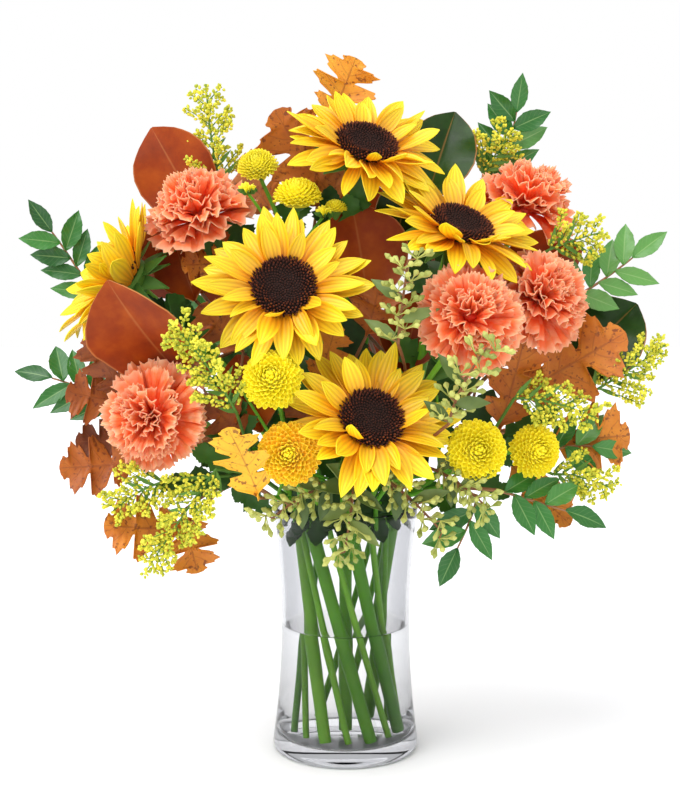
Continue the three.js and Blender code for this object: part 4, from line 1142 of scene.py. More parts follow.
def grow_bracts(piece, frame_at, draw):
    """Adds the green cup and two whorls of pointed bracts behind a sunflower."""
    cup = [(0, -24), (6, -24), (14, -16), (20, -9.5), (21.5, -7), (19, -4.6), (0, -4.6)]
    piece.add_turned(cup, 24, "bract", 0.4, frame_at)
    form = sheet(4, 8)
    outline = shares((0, 0.75), (0.25, 1), (0.55, 0.7), (0.8, 0.3), (1, 0.03))
    for count, root, length, height, rise in BRACT_WHORLS:
        for k in range(count):
            bearing = (k + draw.uniform(-0.2, 0.2)) * 2 * math.pi / count + rise
            points = blade(
                form,
                length * draw.uniform(0.85, 1.05),
                BRACT_HALF,
                outline,
                rise=rise,
                curl=draw.uniform(-0.9, 0.35) + 0.01,
                lift=lambda u, v: 1.2 * u * u,
                thickness=0.7,
            )
            place = ray_frame(root, bearing, height, draw.uniform(-0.2, 0.2))
            piece.add(form, points, "bract", draw.random(), frame_at @ place)


def grow_stem(piece, path, radii, draw, nodes):
    """Adds a cut stem; each of its nodes is a slight swelling at a share of its length."""
    swelling, reach = 1.1, 0.02
    steps = np.linspace(0, 1, len(path))
    radius = np.interp(steps, np.linspace(0, 1, len(radii)), radii)
    for node in nodes:
        radius = radius + swelling * np.exp(-(((steps - node) / reach) ** 2))
    tube(piece, path, radius, 14, tint=draw.uniform(0.2, 0.9))


def grow_stem_leaves(piece, path, places, length, half, outline, draw, paint):
    """Adds leaves to a flower's stem at shares of its length, in a spiral."""
    form = sheet(6, 24)
    turn = draw.uniform(0, ANY_TURN)
    for share in places:
        at, ahead = on_limb(path, share)
        turn += GOLDEN_TURN
        away = Vector((math.cos(turn), math.sin(turn), 0.5))
        reach = length * draw.uniform(0.8, 1.1)
        tip = at + (away + ahead * 0.6).normalized() * reach
        grow_leaf(
            piece, form, at, tip, half, (0.1, -0.8, 0.6), outline, draw, draw.random(), -0.5, 0.2, paint=paint
        )


def carnation_petal(form, length, fan, rise, curl, draw):
    """Points of a fan-shaped petal with a ruffled, toothed edge."""
    waves = draw.uniform(6.0, 10.0)
    phase = draw.uniform(0, ANY_TURN)
    tall = draw.uniform(1.6, 3.4) * fan / 14
    skew = draw.uniform(-0.4, 0.4)

    def surface(u, v):
        v = np.maximum(v, 0)
        tooth = 1 + 0.035 * v**3 * np.cos(u * 10 * math.pi)
        heading, out, high = arc(length * tooth * (1 - 0.2 * u * u * v), rise, curl, v)
        grown = v**1.6
        fold = tall * grown * np.sin(waves * u + phase + 1.2 * v) + 1.4 * grown * np.sin(17 * u + 2 * phase)
        x = u * fan * (0.16 + 0.84 * v**1.2) + skew * fold
        return np.stack([x, out - fold * np.sin(heading), high + fold * np.cos(heading)], axis=1)

    return thickened(form, surface, 0.5)


# Each whorl of a carnation: petals, root radius and height, length, fan half width, rise and curl.
CARNATION_WHORLS = [
    (7, 5, -10, 40, 20, 0.25, -0.5),
    (7, 5, -8, 39, 19, 0.5, -0.55),
    (8, 4, -6, 37, 17, 0.75, -0.5),
    (8, 3, -5, 36, 15, 1.0, -0.4),
    (7, 2, -4, 35, 13, 1.25, -0.25),
    (5, 1, -3, 33, 11, 1.48, -0.1),
]


def grow_carnation(piece, frame_at, draw):
    """Adds a carnation's bloom of ruffled petals."""
    piece.add_turned([(0, -15), (7, -14), (8, -4), (5, 8), (0, 9)], 10, tint=0.2, matrix=frame_at)
    form = sheet(20, 6)
    for count, root, height, length, fan, rise, curl in CARNATION_WHORLS:
        for k in range(count):
            bearing = (k + draw.uniform(-0.3, 0.3) + rise) * 2 * math.pi / count
            points = carnation_petal(
                form,
                length * draw.uniform(0.84, 1.07),
                fan * draw.uniform(0.8, 1.2),
                rise + draw.uniform(-0.2, 0.2),
                curl + draw.uniform(-0.15, 0.1),
                draw,
            )
            roll = draw.uniform(-0.25, 0.25)
            place = ray_frame(root, bearing, height, roll, draw.uniform(-0.1, 0.1))
            piece.add(form, points, tint=draw.random(), matrix=frame_at @ place)


# How far round from its top a chrysanthemum's dome is covered, as one less the cosine there.
POM_COVER = 1.22
BUD_COVER = 1.2
BUD_FLORETS = 30


def over_dome(count, cover):
    """Places in a spiral over a dome: the share of the way, the angle from its top, and the bearing."""
    for k in range(count):
        share = (k + 0.5) / count
        yield share, math.acos(1 - cover * share), k * GOLDEN_TURN


def grow_pom(piece, frame_at, radius, ripeness, draw):
    """Adds a button chrysanthemum: spoon-shaped florets packed in a spiral over a low dome."""
    core = [(0, -0.3), (0.55, -0.32), (0.72, 0), (0.5, 0.34), (0, 0.44)]
    core = [(out * radius, high * radius) for out, high in core]
    piece.add_turned(core, 20, tint=ripeness * 0.8, matrix=frame_at)
    form = sheet(2, 4)
    outline = shares((0, 0.5), (0.5, 0.95), (0.8, 1), (0.95, 0.7), (1, 0.35))
    count = 210 if radius > 12 else 120
    for share, spread, bearing in over_dome(count, POM_COVER):
        flat = spread / 1.8
        sideways, upwards = math.sin(spread), math.cos(spread)
        outward = Vector((math.cos(bearing) * sideways, math.sin(bearing) * sideways, 0))
        root = outward * 0.5 * radius
        root.z = radius * (0.42 * upwards - 0.02)
        outward.z = upwards * 0.75 + 0.04
        length = radius * (0.3 + 0.2 * flat) * draw.uniform(0.9, 1.08)
        width = radius * (0.075 + 0.045 * flat) * draw.uniform(0.9, 1.1)
        points = blade(
            form, length, width, outline,
            rise=-0.25 * flat,
            curl=0.9 - 0.35 * flat + draw.uniform(-0.15, 0.15),
            lift=lambda u, v, width=width: 0.5 * width * u * u,
            thickness=0.35,
        )
        face = UP - outward * outward.dot(UP) + Vector((0, 0, 1e-3))
        place = growth_frame(root, outward, face if sideways > 0.05 else Vector((1, 0, 0)))
        tint = ripeness + draw.uniform(-0.12, 0.08) - (0.15 if share < 0.08 else 0)
        piece.add(form, points, tint=min(max(tint, 0), 1), matrix=frame_at @ place)


def grow_bud(piece, fork, at, owner, draw):
    """Adds a chrysanthemum's side twig with a half-open bud."""
    tube(piece, eased(evenly(fork, at, 6), owner, held=1), (1.4, 1.2))
    form = sheet(2, 4)
    outline = shares((0, 0.5), (0.6, 1), (1, 0.2))
    frame_at = facing_frame(at, (0.1, -0.4, 0.9))
    points = blade(form, 7.5, 2.0, outline, 0.0, 0.9, thickness=0.4)
    for share, spread, bearing in over_dome(BUD_FLORETS, BUD_COVER):
        sideways = math.sin(spread)
        away = Vector((math.cos(bearing) * sideways, math.sin(bearing) * sideways, math.cos(spread)))
        place = growth_frame(away * 1.2, away + Vector((0, 0, 0.4)), away.cross(Vector((0.3, 0.2, 0.9))))
        paint = "pom" if share < 0.6 else "bract"
        piece.add(form, points, paint, 0.2 + 0.2 * draw.random(), frame_at @ place)


# ---------- leaves, plumes and capsules ----------
def zigzag(outline, teeth, depth):
    """An outline with saw teeth that point to the tip."""

    def toothed(v):
        saw = (v * teeth) % 1.0
        return outline(v) * (1 - depth * (1 - saw) * (v > 0.12) * (v < 0.97))

    return toothed


# Half width as a share of the widest at places along the leaf.
OAK_OUTLINE = shares(
    (0, 0.04), (0.08, 0.08), (0.11, 0.26), (0.14, 0.56), (0.17, 0.56), (0.2, 0.76), (0.24, 0.64),
    (0.27, 0.66), (0.31, 0.24), (0.34, 0.26), (0.37, 0.7), (0.41, 0.72), (0.46, 1.0), (0.5, 0.88),
    (0.53, 0.92), (0.56, 0.62), (0.6, 0.24), (0.63, 0.26), (0.66, 0.7), (0.7, 0.68), (0.75, 0.88),
    (0.79, 0.66), (0.82, 0.66), (0.85, 0.34), (0.88, 0.3), (0.91, 0.4), (0.94, 0.26), (0.96, 0.24),
    (1, 0.02),
)
MAGNOLIA_OUTLINE = shares(
    (0, 0.04), (0.05, 0.16), (0.12, 0.4), (0.22, 0.68), (0.35, 0.91), (0.5, 1), (0.64, 0.95),
    (0.78, 0.75), (0.88, 0.5), (0.95, 0.25), (0.985, 0.1), (1, 0.03),
)
HUCKLEBERRY_OUTLINE = zigzag(
    shares(
        (0, 0.06), (0.08, 0.36), (0.2, 0.74), (0.36, 0.98), (0.5, 1), (0.68, 0.78), (0.84, 0.42),
        (0.94, 0.16), (1, 0.02),
    ),
    22,
    0.06,
)
EUCALYPTUS_OUTLINE = shares((0, 0.08), (0.15, 0.6), (0.4, 1), (0.7, 0.7), (0.9, 0.25), (1, 0.03))
CHRYSANTHEMUM_OUTLINE = zigzag(
    shares(
        (0, 0.1), (0.12, 0.22), (0.2, 0.7), (0.27, 0.8), (0.32, 0.5), (0.4, 0.62), (0.48, 1),
        (0.56, 0.98), (0.61, 0.6), (0.7, 0.55), (0.76, 0.76), (0.84, 0.6), (0.92, 0.4), (1, 0.03),
    ),
    16,
    0.2,
)


def grow_leaf(
    piece, form, base, tip, half, face, outline, draw, tint, curl, fold, sway=1.0, thickness=0.6, lean=0.0,
    paint=None,
):
    """Adds a leaf from its base to its tip, folded a little along its midrib and gently waved."""
    base, tip = Vector(base), Vector(tip)
    phase = draw.uniform(0, ANY_TURN)
    waves = draw.uniform(1.6, 2.6)

    def lift(u, v):
        rippled = sway * 0.07 * np.abs(u) ** 1.5 * np.sin(waves * ANY_TURN * v + phase + (u > 0) * 2)
        return (fold * np.abs(u) ** 1.3 + rippled) * half * np.minimum(1, 4 * (1 - v))

    points = blade(form, (tip - base).length, half, outline, 0.0, curl, lift, thickness, lean)
    piece.add(form, points, paint, tint, growth_frame(base, tip - base, face))


# A huckleberry frond's leaves: their spacing on each side, where each side starts, and their size.
FROND_SPACING = 16.5
FROND_STARTS = ((1, 6), (-1, 14))
FROND_LEAF = 37
FROND_END_LEAF = 36
FROND_HALF = 8.4


def grow_frond(piece, points, face, draw, tone):
    """Adds a huckleberry frond: a reddish twig with leaves to either side and one at its tip.

    The tone makes all its leaves darker or lighter.
    """
    steps = 12
    path = smooth_limb(points, steps)
    length = path_length(path)
    tube(piece, path, (1.3, 0.7), 6, "twig", 0.6)
    face = Vector(face)
    form = sheet(6, 28)
    leaves = []
    for side, at in FROND_STARTS:
        while at < length - 9:
            leaves.append((at, side))
            at += FROND_SPACING
    for at, side in leaves + [(length, 0)]:
        place = at / length
        index = min(int(place * steps), steps - 1)
        ahead = (path[index + 1] - path[index]).normalized()
        root = path[index].lerp(path[index + 1], place * steps - index) if side else path[-1]
        sideways = face.cross(ahead).normalized()
        lean = 0.9 + draw.uniform(-0.1, 0.1)
        along = ahead * math.cos(lean * abs(side)) + sideways * (side * math.sin(lean))
        normal = ahead.cross(sideways) + sideways * draw.uniform(-0.3, 0.3)
        reach = (FROND_LEAF if side else FROND_END_LEAF) * draw.uniform(0.88, 1.03)
        grow_leaf(
            piece, form, root, root + along * reach, FROND_HALF * draw.uniform(0.88, 1.08), normal,
            HUCKLEBERRY_OUTLINE, draw, tone + 0.6 * draw.random(), draw.uniform(-0.5, -0.1), 0.22,
        )


def bud_form(sides, rows, *profile):
    """A template of a bud along +Y, one wide and one long, from its (place, radius) profile."""
    form = sleeve(sides, rows)
    x, y, along = form.places.T
    swell = shares(*profile)(along)
    return form, np.stack([x * swell, along, y * swell], axis=1)


# A goldenrod plume: millimetres of limb to each sprig, and a sprig's reach at the foot and what it
# loses by the tip; florets to each millimetre of sprig and of limb, and how far off they sit.
SPRIG_SPACING = 3.6
SPRIG_REACH = 32
SPRIG_LOSS = 20
SPRIG_CROWD = 1.7
LIMB_CROWD = 0.5
FLORET_SPREAD = 2.2


def grow_plume(piece, points, draw):
    """Adds a goldenrod plume: sprigs that arch out from the limb, crowded with tiny florets."""
    path = smooth_limb(points, 16)
    tube(piece, path, (1.1, 0.5), 6, "bract")
    length = path_length(path)
    form, bud = bud_form(5, 3, (0, 0.4), (0.33, 1.0), (0.67, 0.95), (1, 0.3))

    def crowd(line, count):
        for _ in range(count):
            at, ahead = on_limb(line, draw.random() ** 0.8)
            away = ahead.orthogonal().normalized()
            away.rotate(Matrix.Rotation(draw.uniform(0, ANY_TURN), 3, ahead))
            direction = (away + ahead * 0.7).normalized()
            root = at + away * draw.uniform(0, FLORET_SPREAD)
            size = draw.uniform(0.8, 1.35)
            frame_at = growth_frame(root, direction, ahead.orthogonal())
            points = bud * (1.05 * size, 2.6 * size, 1.05 * size)
            piece.add(form, points, tint=draw.random(), matrix=frame_at)

    count = max(int(length / SPRIG_SPACING), 8)
    for k in range(count):
        share = 0.02 + 0.9 * k / count
        at, ahead = on_limb(path, share)
        across = sideways_of(ahead)
        across.rotate(Matrix.Rotation(draw.uniform(-1.1, 1.1), 3, ahead))
        side = 1 if k % 2 else -1
        reach = (SPRIG_REACH - SPRIG_LOSS * share) * draw.uniform(0.6, 1.15)
        middle = at + ahead * reach * 0.45 + across * side * reach * 0.5
        tip = middle + ahead * reach * 0.25 + across * side * reach * 0.35
        sprig = smooth_limb([at, middle, tip], 5)
        tube(piece, sprig, (0.55, 0.3), 4, "bract")
        crowd(sprig, int(reach * SPRIG_CROWD))
    crowd(path[9:], int(length * LIMB_CROWD))
    leaf = sheet(2, 5)
    for k in range(6):
        at, ahead = on_limb(path, 0.08 * k)
        across = sideways_of(ahead) * (1 if k % 2 else -1)
        tip = at + (across + ahead * 0.8).normalized() * draw.uniform(14, 22)
        grow_leaf(
            piece, leaf, at, tip, 1.8, (0.1, -1, 0.3), EUCALYPTUS_OUTLINE, draw, 0.6, -0.4, 0.2, paint="bract"
        )


# A eucalyptus limb's umbels, the capsules in each, and the turn in radians from one to the next.
UMBELS = 8
CAPSULES = 8
CAPSULE_TURN = 0.785


def grow_capsules(piece, points, draw):
    """Adds a seeded eucalyptus limb: umbels of club-shaped capsules, and narrow dull leaves."""
    path = smooth_limb(points, 12)
    tube(piece, path, (1.3, 0.8), 6, "twig", 0.35)
    form, club = bud_form(7, 6, (0, 0.2), (0.34, 0.17), (0.5, 0.2), (0.67, 0.62), (0.84, 1.0), (1, 0.25))
    for k in range(UMBELS):
        at, ahead = on_limb(path, 0.02 + 0.14 * k)
        side = sideways_of(ahead, (0.3, 1, 0.2)) * (1 if k % 2 else -1)
        away = ahead.cross(side).normalized()
        hub = at + side * draw.uniform(3, 6) + ahead * 2 + Vector((0, -3, 0))
        tube(piece, [at, at.lerp(hub, 0.5), hub], (0.7, 0.6), 5, "twig", 0.6)
        for c in range(CAPSULES):
            turn = c * CAPSULE_TURN + draw.uniform(-0.3, 0.3)
            spread = draw.uniform(0.7, 1.3)
            direction = (side * math.cos(turn) + away * math.sin(turn)) * spread + ahead * 0.55
            length = draw.uniform(13, 17.5)
            wide = draw.uniform(2.0, 2.6)
            frame_at = growth_frame(hub, direction, Vector((0.2, 0.3, 1)))
            piece.add(form, club * (wide, length, wide), tint=draw.random(), matrix=frame_at)
    leaf = sheet(4, 10)
    for k in range(3):
        at, ahead = on_limb(path, 0.03 + 0.24 * k)
        across = sideways_of(ahead, (0.3, 1, 0.2)) * (1 if k % 2 else -1)
        tip = at + (across * 0.9 + ahead * 0.5).normalized() * draw.uniform(24, 32)
        grow_leaf(
            piece, leaf, at, tip, 5.5, (0.1, -1, 0.4), EUCALYPTUS_OUTLINE, draw, draw.random(), -0.4, 0.2,
            paint="eucalyptus",
        )


def sprays(kind, layout, finishes):
    """Each spray of a kind with the name of its node, its random draws, and an empty piece."""
    for name, spray in layout.items():
        owner = f"{kind}_{name}"
        yield owner, spray, random.Random(owner), Piece(*finishes)


# ---------- settings ----------
class BouquetVaseSettings(bpy.types.PropertyGroup):
    """Sizes of the vase and its water."""

    height: bpy.props.FloatProperty(
        name="Height", description="From the foot to the rim", default=0.203, unit="LENGTH"
    )
    waist: bpy.props.FloatProperty(
        name="Waist radius", description="At the narrowest place", default=0.0526, unit="LENGTH"
    )
    waist_height: bpy.props.FloatProperty(
        name="Waist height", description="Height of the narrowest place", default=0.105, unit="LENGTH"
    )
    foot_flare: bpy.props.FloatProperty(
        name="Foot flare",
        description="How much wider the foot is than the waist",
        default=0.0074,
        unit="LENGTH",
    )
    rim_flare: bpy.props.FloatProperty(
        name="Rim flare",
        description="How much wider the rim is than the waist",
        default=0.0068,
        unit="LENGTH",
    )
    wall: bpy.props.FloatProperty(
        name="Wall", description="Thickness of the glass", default=0.003, unit="LENGTH"
    )
    floor: bpy.props.FloatProperty(
        name="Base", description="Thickness of the solid base", default=0.012, unit="LENGTH"
    )
    water: bpy.props.FloatProperty(
        name="Water level", description="Height of the water", default=0.104, unit="LENGTH"
    )


class BouquetStageSettings(bpy.types.PropertyGroup):
    """The floor, lights and camera."""

    distance: bpy.props.FloatProperty(
        name="Camera distance", description="In front of the vase's axis", default=1.2, unit="LENGTH"
    )
    height: bpy.props.FloatProperty(
        name="Camera height", description="Above the floor", default=0.43, unit="LENGTH"
    )
    side: bpy.props.FloatProperty(
        name="Camera offset", description="To the right of the axis", default=-0.0045, unit="LENGTH"
    )
    pitch: bpy.props.FloatProperty(
        name="Camera pitch",
        description="How far the camera looks down",
        default=math.radians(6.6),
        subtype="ANGLE",
    )
    lens: bpy.props.FloatProperty(
        name="Lens",
        description="Focal length for a 36 mm sensor",
        default=67.6,
        subtype="DISTANCE_CAMERA",
    )
    daylight: bpy.props.FloatProperty(
        name="Daylight", description="Strength of the broad light from the upper left", default=1.6
    )
    key: bpy.props.FloatProperty(
        name="Key light", description="Power of the large lamp on the left", default=9.0, unit="POWER"
    )
    floor_colour: bpy.props.FloatVectorProperty(
        name="Floor colour",
        description="A plain pale floor",
        default=linear("#FAFAFA"),
        size=4,
        subtype="COLOR",
    )


# ---------- the vase's section ----------
FOOT = 6  # the height at which the vase's wall starts, over its rounded foot


def vase_wall(vase, z):
    """The vase's outer radius at a height, in millimetres."""
    waist = vase.waist_height / MM
    if z < waist:
        return (vase.waist + vase.foot_flare * ((waist - z) / (waist - FOOT)) ** 2) / MM
    return (vase.waist + vase.rim_flare * ((z - waist) / (vase.height / MM - waist)) ** 2) / MM


def vase_profile(vase):
    """The vase's section: the base, the outer wall, a rounded rim, the inner wall and its floor."""
    height, wall, floor = vase.height / MM, vase.wall / MM, vase.floor / MM
    foot = vase_wall(vase, FOOT)
    outer = [(vase_wall(vase, z), z) for z in np.linspace(FOOT, height - 1.2, 24)]
    inner = [(radius - wall, z) for radius, z in reversed(outer) if z > floor + 8]
    rim = vase_wall(vase, height)
    lip = [(rim - 0.5, height - 0.3), (rim - 1.5, height), (rim - 2.5, height - 0.3)]
    corner = inner[-1][0]
    bowl = [(corner - 0.6, floor + 4), (corner - 2.5, floor + 1.4), (corner - 6, floor + 0.2)]
    base = [(0, 1.2), (foot - 14, 1.0), (foot - 9, 0.1), (foot - 5, 0), (foot - 2, 0.7), (foot - 0.5, 2.6)]
    return base + outer + lip + inner + bowl + [(0, floor)]


def water_profile(vase):
    """The water's section, which meets the glass, with a meniscus that climbs the wall."""
    wall, floor, level = vase.wall / MM, vase.floor / MM, vase.water / MM
    inner = [(vase_wall(vase, z) - wall + 0.08, z) for z in np.linspace(floor + 8, level, 14)]
    corner = inner[0][0]
    bowl = [(corner - 6, floor + 0.12), (corner - 2.5, floor + 1.3), (corner - 0.6, floor + 3.9)]
    edge = vase_wall(vase, level) - wall
    meniscus = [(edge + 0.08, level + 1.2), (edge - 0.7, level + 0.5), (edge - 2.4, level + 0.1)]
    return [(0, floor - 0.08), *bowl, *inner, *meniscus, (edge - 5, level), (0, level)]


# ---------- operators ----------
class BOUQUET_OT_vase(bpy.types.Operator):
    """Turn the glass vase with its thick base."""

    bl_idname = "bouquet.vase"
    bl_label = "Glass vase"

    def execute(self, context):
        piece = Piece("glass")
        piece.add_turned(vase_profile(context.scene.bouquet_vase), 96)
        piece.finish("glass_vase", "vase", "glass", sharp=60)
        return {"FINISHED"}


class BOUQUET_OT_water(bpy.types.Operator):
    """Fill the vase with water up to its level."""

    bl_idname = "bouquet.water"
    bl_label = "Water"

    def execute(self, context):
        piece = Piece("water")
        piece.add_turned(water_profile(context.scene.bouquet_vase), 96)
        piece.finish("vase_water", "water", "water", sharp=60)
        return {"FINISHED"}


# How far behind a bloom its stem's path ends, inside the cup or calyx.
SUNFLOWER_DEPTH = 18
CARNATION_DEPTH = 34


class BOUQUET_OT_sunflowers(bpy.types.Operator):
    """Grow the sunflowers: stem with bracts, disc, and rays."""

    bl_idname = "bouquet.sunflowers"
    bl_label = "Sunflowers"

    def execute(self, context):
        for name, (at, faces, slot, seed) in SUNFLOWERS.items():
            owner = f"sunflower_{name}"
            draw = random.Random(seed)
            frame_at = facing_frame(at, faces)
            axis = Vector(faces).normalized()
            stem, disc, rays = Piece("stem", "bract", "dark_leaf"), Piece("disc"), Piece("ray")
            path = flower_stem(owner, slot, Vector(at) - axis * SUNFLOWER_DEPTH, axis)
            grow_stem(stem, path, (5.0, 5.2, 5.0, 5.4, 6.2), draw, (0.12, 0.3))
            grow_bracts(stem, frame_at, draw)
            for first, length, half, source in (
                (0.55, 44, 13, draw),
                (0.52, 46, 15, random.Random(seed + 100)),
            ):
                places = [first + 0.08 * k for k in range(5)]
                grow_stem_leaves(
                    stem, path, places, length, half, CHRYSANTHEMUM_OUTLINE, source, "dark_leaf"
                )
            stem.finish(f"cut_{owner}_stem", f"{owner}_stem", "stem")
            grow_disc(disc, frame_at, draw)
            disc.finish(f"seeded_disc_{name}", f"{owner}_disc", "sunflower_disc")
            grow_rays(rays, frame_at, draw, 1.0 if name == "left" else 0.0)
            rays.finish(f"ray_petals_{name}", f"{owner}_rays", "sunflower_petal")
        return {"FINISHED"}


class BOUQUET_OT_carnations(bpy.types.Operator):
    """Grow the carnations: stem with its calyx, and ruffled bloom."""

    bl_idname = "bouquet.carnations"
    bl_label = "Carnations"

    def execute(self, context):
        for name, (at, faces, slot, seed) in CARNATIONS.items():
            owner = f"carnation_{name}"
            draw = random.Random(seed)
            frame_at = facing_frame(at, faces)
            axis = Vector(faces).normalized()
            stem, bloom = Piece("stem", "bract"), Piece("carnation")
            path = flower_stem(owner, slot, Vector(at) - axis * CARNATION_DEPTH, axis)
            grow_stem(stem, path, (2.7, 2.5, 2.4), draw, (0.15, 0.38, 0.62))
            calyx = [(0, -38), (3.2, -38), (6, -31), (7.4, -18), (6, -9), (0, -9)]
            stem.add_turned(calyx, 16, "bract", 0.5, frame_at)
            more = random.Random(seed + 100)
            places = (0.5, 0.57, 0.64, 0.71, 0.78, 0.85)
            grow_stem_leaves(stem, path, places, 52, 7, EUCALYPTUS_OUTLINE, more, "bract")
            stem.finish(f"cut_{owner}_stem", f"{owner}_stem", "stem")
            grow_carnation(bloom, frame_at, draw)
            bloom.finish(f"ruffled_bloom_{name}", f"{owner}_bloom", "carnation_petal", sharp=60)
        return {"FINISHED"}


class BOUQUET_OT_poms(bpy.types.Operator):
    """Grow the button chrysanthemum sprays and their heads."""

    bl_idname = "bouquet.poms"
    bl_label = "Button chrysanthemums"

    def execute(self, context):
        for name, spray in POM_SPRAYS.items():
            owner = f"pom_spray_{name}"
            draw = random.Random(name)
            stem = Piece("stem", "bract", "pom", "dark_leaf")
            fork = Vector(spray["fork"])
            path = flower_stem(owner, spray["slot"], fork, UP, 10)
            grow_stem(stem, path, (2.6, 2.4, 2.2), draw, (0.2, 0.45))
            for head, at, faces, radius, ripeness in spray["heads"]:
                axis = Vector(faces).normalized()
                end = Vector(at) - axis * (0.42 * radius + 2)
                tube(stem, eased([fork, *bend(fork, UP, end, axis, 8)], owner, held=1), (1.9, 1.6))
                frame_at = facing_frame(at, faces)
                top = -0.2 * radius
                cup = [(0, top - 8), (2, top - 8), (0.46 * radius, top - 3), (0.62 * radius, top), (0, top)]
                stem.add_turned(cup, 16, "bract", 0.5, frame_at)
                bloom = Piece("pom")
                grow_pom(bloom, frame_at, radius, ripeness, random.Random(head))
                bloom.finish(f"button_{head}", head, "pom_floret")
            for bud in spray["buds"]:
                grow_bud(stem, fork, Vector(bud), owner, draw)
            form = sheet(6, 40)
            fillers = [(*leaf, FILLER_FACE) for leaf in FILLER_LEAVES[name]]
            for base, tip, width, face in spray["leaves"] + fillers:
                tube(stem, spray_limb(owner, spray, base), (1.4, 1.1))
                grow_leaf(
                    stem, form, base, tip, width, face, CHRYSANTHEMUM_OUTLINE, draw, draw.random(), 0.4, 0.15,
                    paint="dark_leaf",
                )
            for bearing, low, width in NECK_LEAVES.get(name, []):
                radius, high = NECK_LEAF_ROOT
                base = polar(radius, bearing, high)
                tip = polar(NECK_LEAF_TIP, bearing + draw.uniform(-5, 5), low)
                tube(stem, spray_limb(owner, spray, base), (1.2, 1.0), 6, tint=0.3)
                # Neck leaves take the darkest end of their colour: painted shade inside the neck.
                grow_leaf(
                    stem, form, base, tip, width, polar(1, bearing, 0.15), CHRYSANTHEMUM_OUTLINE, draw,
                    0.2 * draw.random(), 0.2, -0.12, paint="dark_leaf",
                )
            stem.finish(f"cut_{owner}_stem", f"{owner}_stem", "stem")
        return {"FINISHED"}


class BOUQUET_OT_magnolia(bpy.types.Operator):
    """Grow the magnolia sprays, green on one side and rusty on the other."""

    bl_idname = "bouquet.magnolia"
    bl_label = "Magnolia leaves"

    def execute(self, context):
        form = sheet(10, 16)
        for owner, spray, draw, piece in sprays("magnolia", MAGNOLIA, ("magnolia", "twig", "stem")):
            tube(piece, spray_trunk(owner, spray), (2.2, 2.0), 8, "stem", 0.2)
            for base, tip, width, face, green in spray["leaves"]:
                tube(piece, spray_limb(owner, spray, base), (1.6, 1.5), 8, "twig", 0.3)
                grow_leaf(
                    piece, form, base, tip, width, face, MAGNOLIA_OUTLINE, draw, float(green), -0.35, 0.3,
                    sway=0.8, thickness=0.9,
                )
            piece.finish(owner + "_spray", owner, "magnolia_leaf")
        return {"FINISHED"}


class BOUQUET_OT_oak(bpy.types.Operator):
    """Grow the sprays of dried oak leaves."""

    bl_idname = "bouquet.oak"
    bl_label = "Oak leaves"

    def execute(self, context):
        form = sheet(8, 60)
        for owner, spray, draw, piece in sprays("oak", OAK, ("oak", "twig", "stem")):
            tube(piece, spray_trunk(owner, spray), (2.2, 2.0), 8, "stem", 0.2)
            for base, tip, width, face, yellow in spray["leaves"]:
                tube(piece, spray_limb(owner, spray, base), (1.5, 1.2), 8, "twig")
                grow_leaf(
                    piece, form, base, tip, width, face, OAK_OUTLINE, draw, yellow, 0.3, 0.1,
                    sway=2.0, lean=0.25,
                )
            piece.finish(owner + "_spray", owner, "oak_leaf")
        return {"FINISHED"}


class BOUQUET_OT_huckleberry(bpy.types.Operator):
    """Grow the huckleberry fronds."""

    bl_idname = "bouquet.huckleberry"
    bl_label = "Huckleberry fronds"

    def execute(self, context):
        for owner, spray, draw, piece in sprays("huckleberry", HUCKLEBERRY, ("huckleberry", "twig", "stem")):
            tube(piece, spray_trunk(owner, spray), (2.2, 2.0), 8, "stem", 0.4)
            for limb in spray["limbs"]:
                tube(piece, spray_limb(owner, spray, limb[0]), (1.8, 1.4), 8, "twig")
                grow_frond(piece, limb, spray.get("face", FRONT), draw, spray.get("tone", MIDDLING))
            piece.finish(owner + "_frond", owner, "huckleberry_leaf")
        return {"FINISHED"}


class BOUQUET_OT_goldenrod(bpy.types.Operator):
    """Grow the goldenrod plumes."""

    bl_idname = "bouquet.goldenrod"
    bl_label = "Goldenrod plumes"

    def execute(self, context):
        for owner, spray, draw, piece in sprays("goldenrod", GOLDENROD, ("goldenrod", "bract")):
            tube(piece, spray_trunk(owner, spray), (2.0, 1.8), 8, "bract")
            for limb in spray["limbs"]:
                tube(piece, spray_limb(owner, spray, limb[0]), (1.4, 1.2), 8, "bract")
                grow_plume(piece, limb, draw)
            piece.finish(owner + "_plume", owner, "goldenrod")
        return {"FINISHED"}


class BOUQUET_OT_eucalyptus(bpy.types.Operator):
    """Grow the seeded eucalyptus."""

    bl_idname = "bouquet.eucalyptus"
    bl_label = "Seeded eucalyptus"

    def execute(self, context):
        finishes = ("capsule", "twig", "eucalyptus", "stem")
        form = sheet(4, 14)
        for owner, spray, draw, piece in sprays("eucalyptus", EUCALYPTUS, finishes):
            tube(piece, spray_trunk(owner, spray), (1.9, 1.6), 8, "stem", 0.3)
            for limb in spray["limbs"]:
                tube(piece, spray_limb(owner, spray, limb[0]), (1.4, 1.3), 8, "twig", 0.3)
                grow_capsules(piece, limb, draw)
            for tip, width in spray["leaves"]:
                grow_leaf(
                    piece, form, spray["fork"], tip, width, (0.1, -0.9, 0.45), EUCALYPTUS_OUTLINE, draw,
                    draw.random(), 0.4, 0.15, paint="eucalyptus",
                )
            piece.finish(owner + "_capsules", owner, "eucalyptus_capsule")
        return {"FINISHED"}


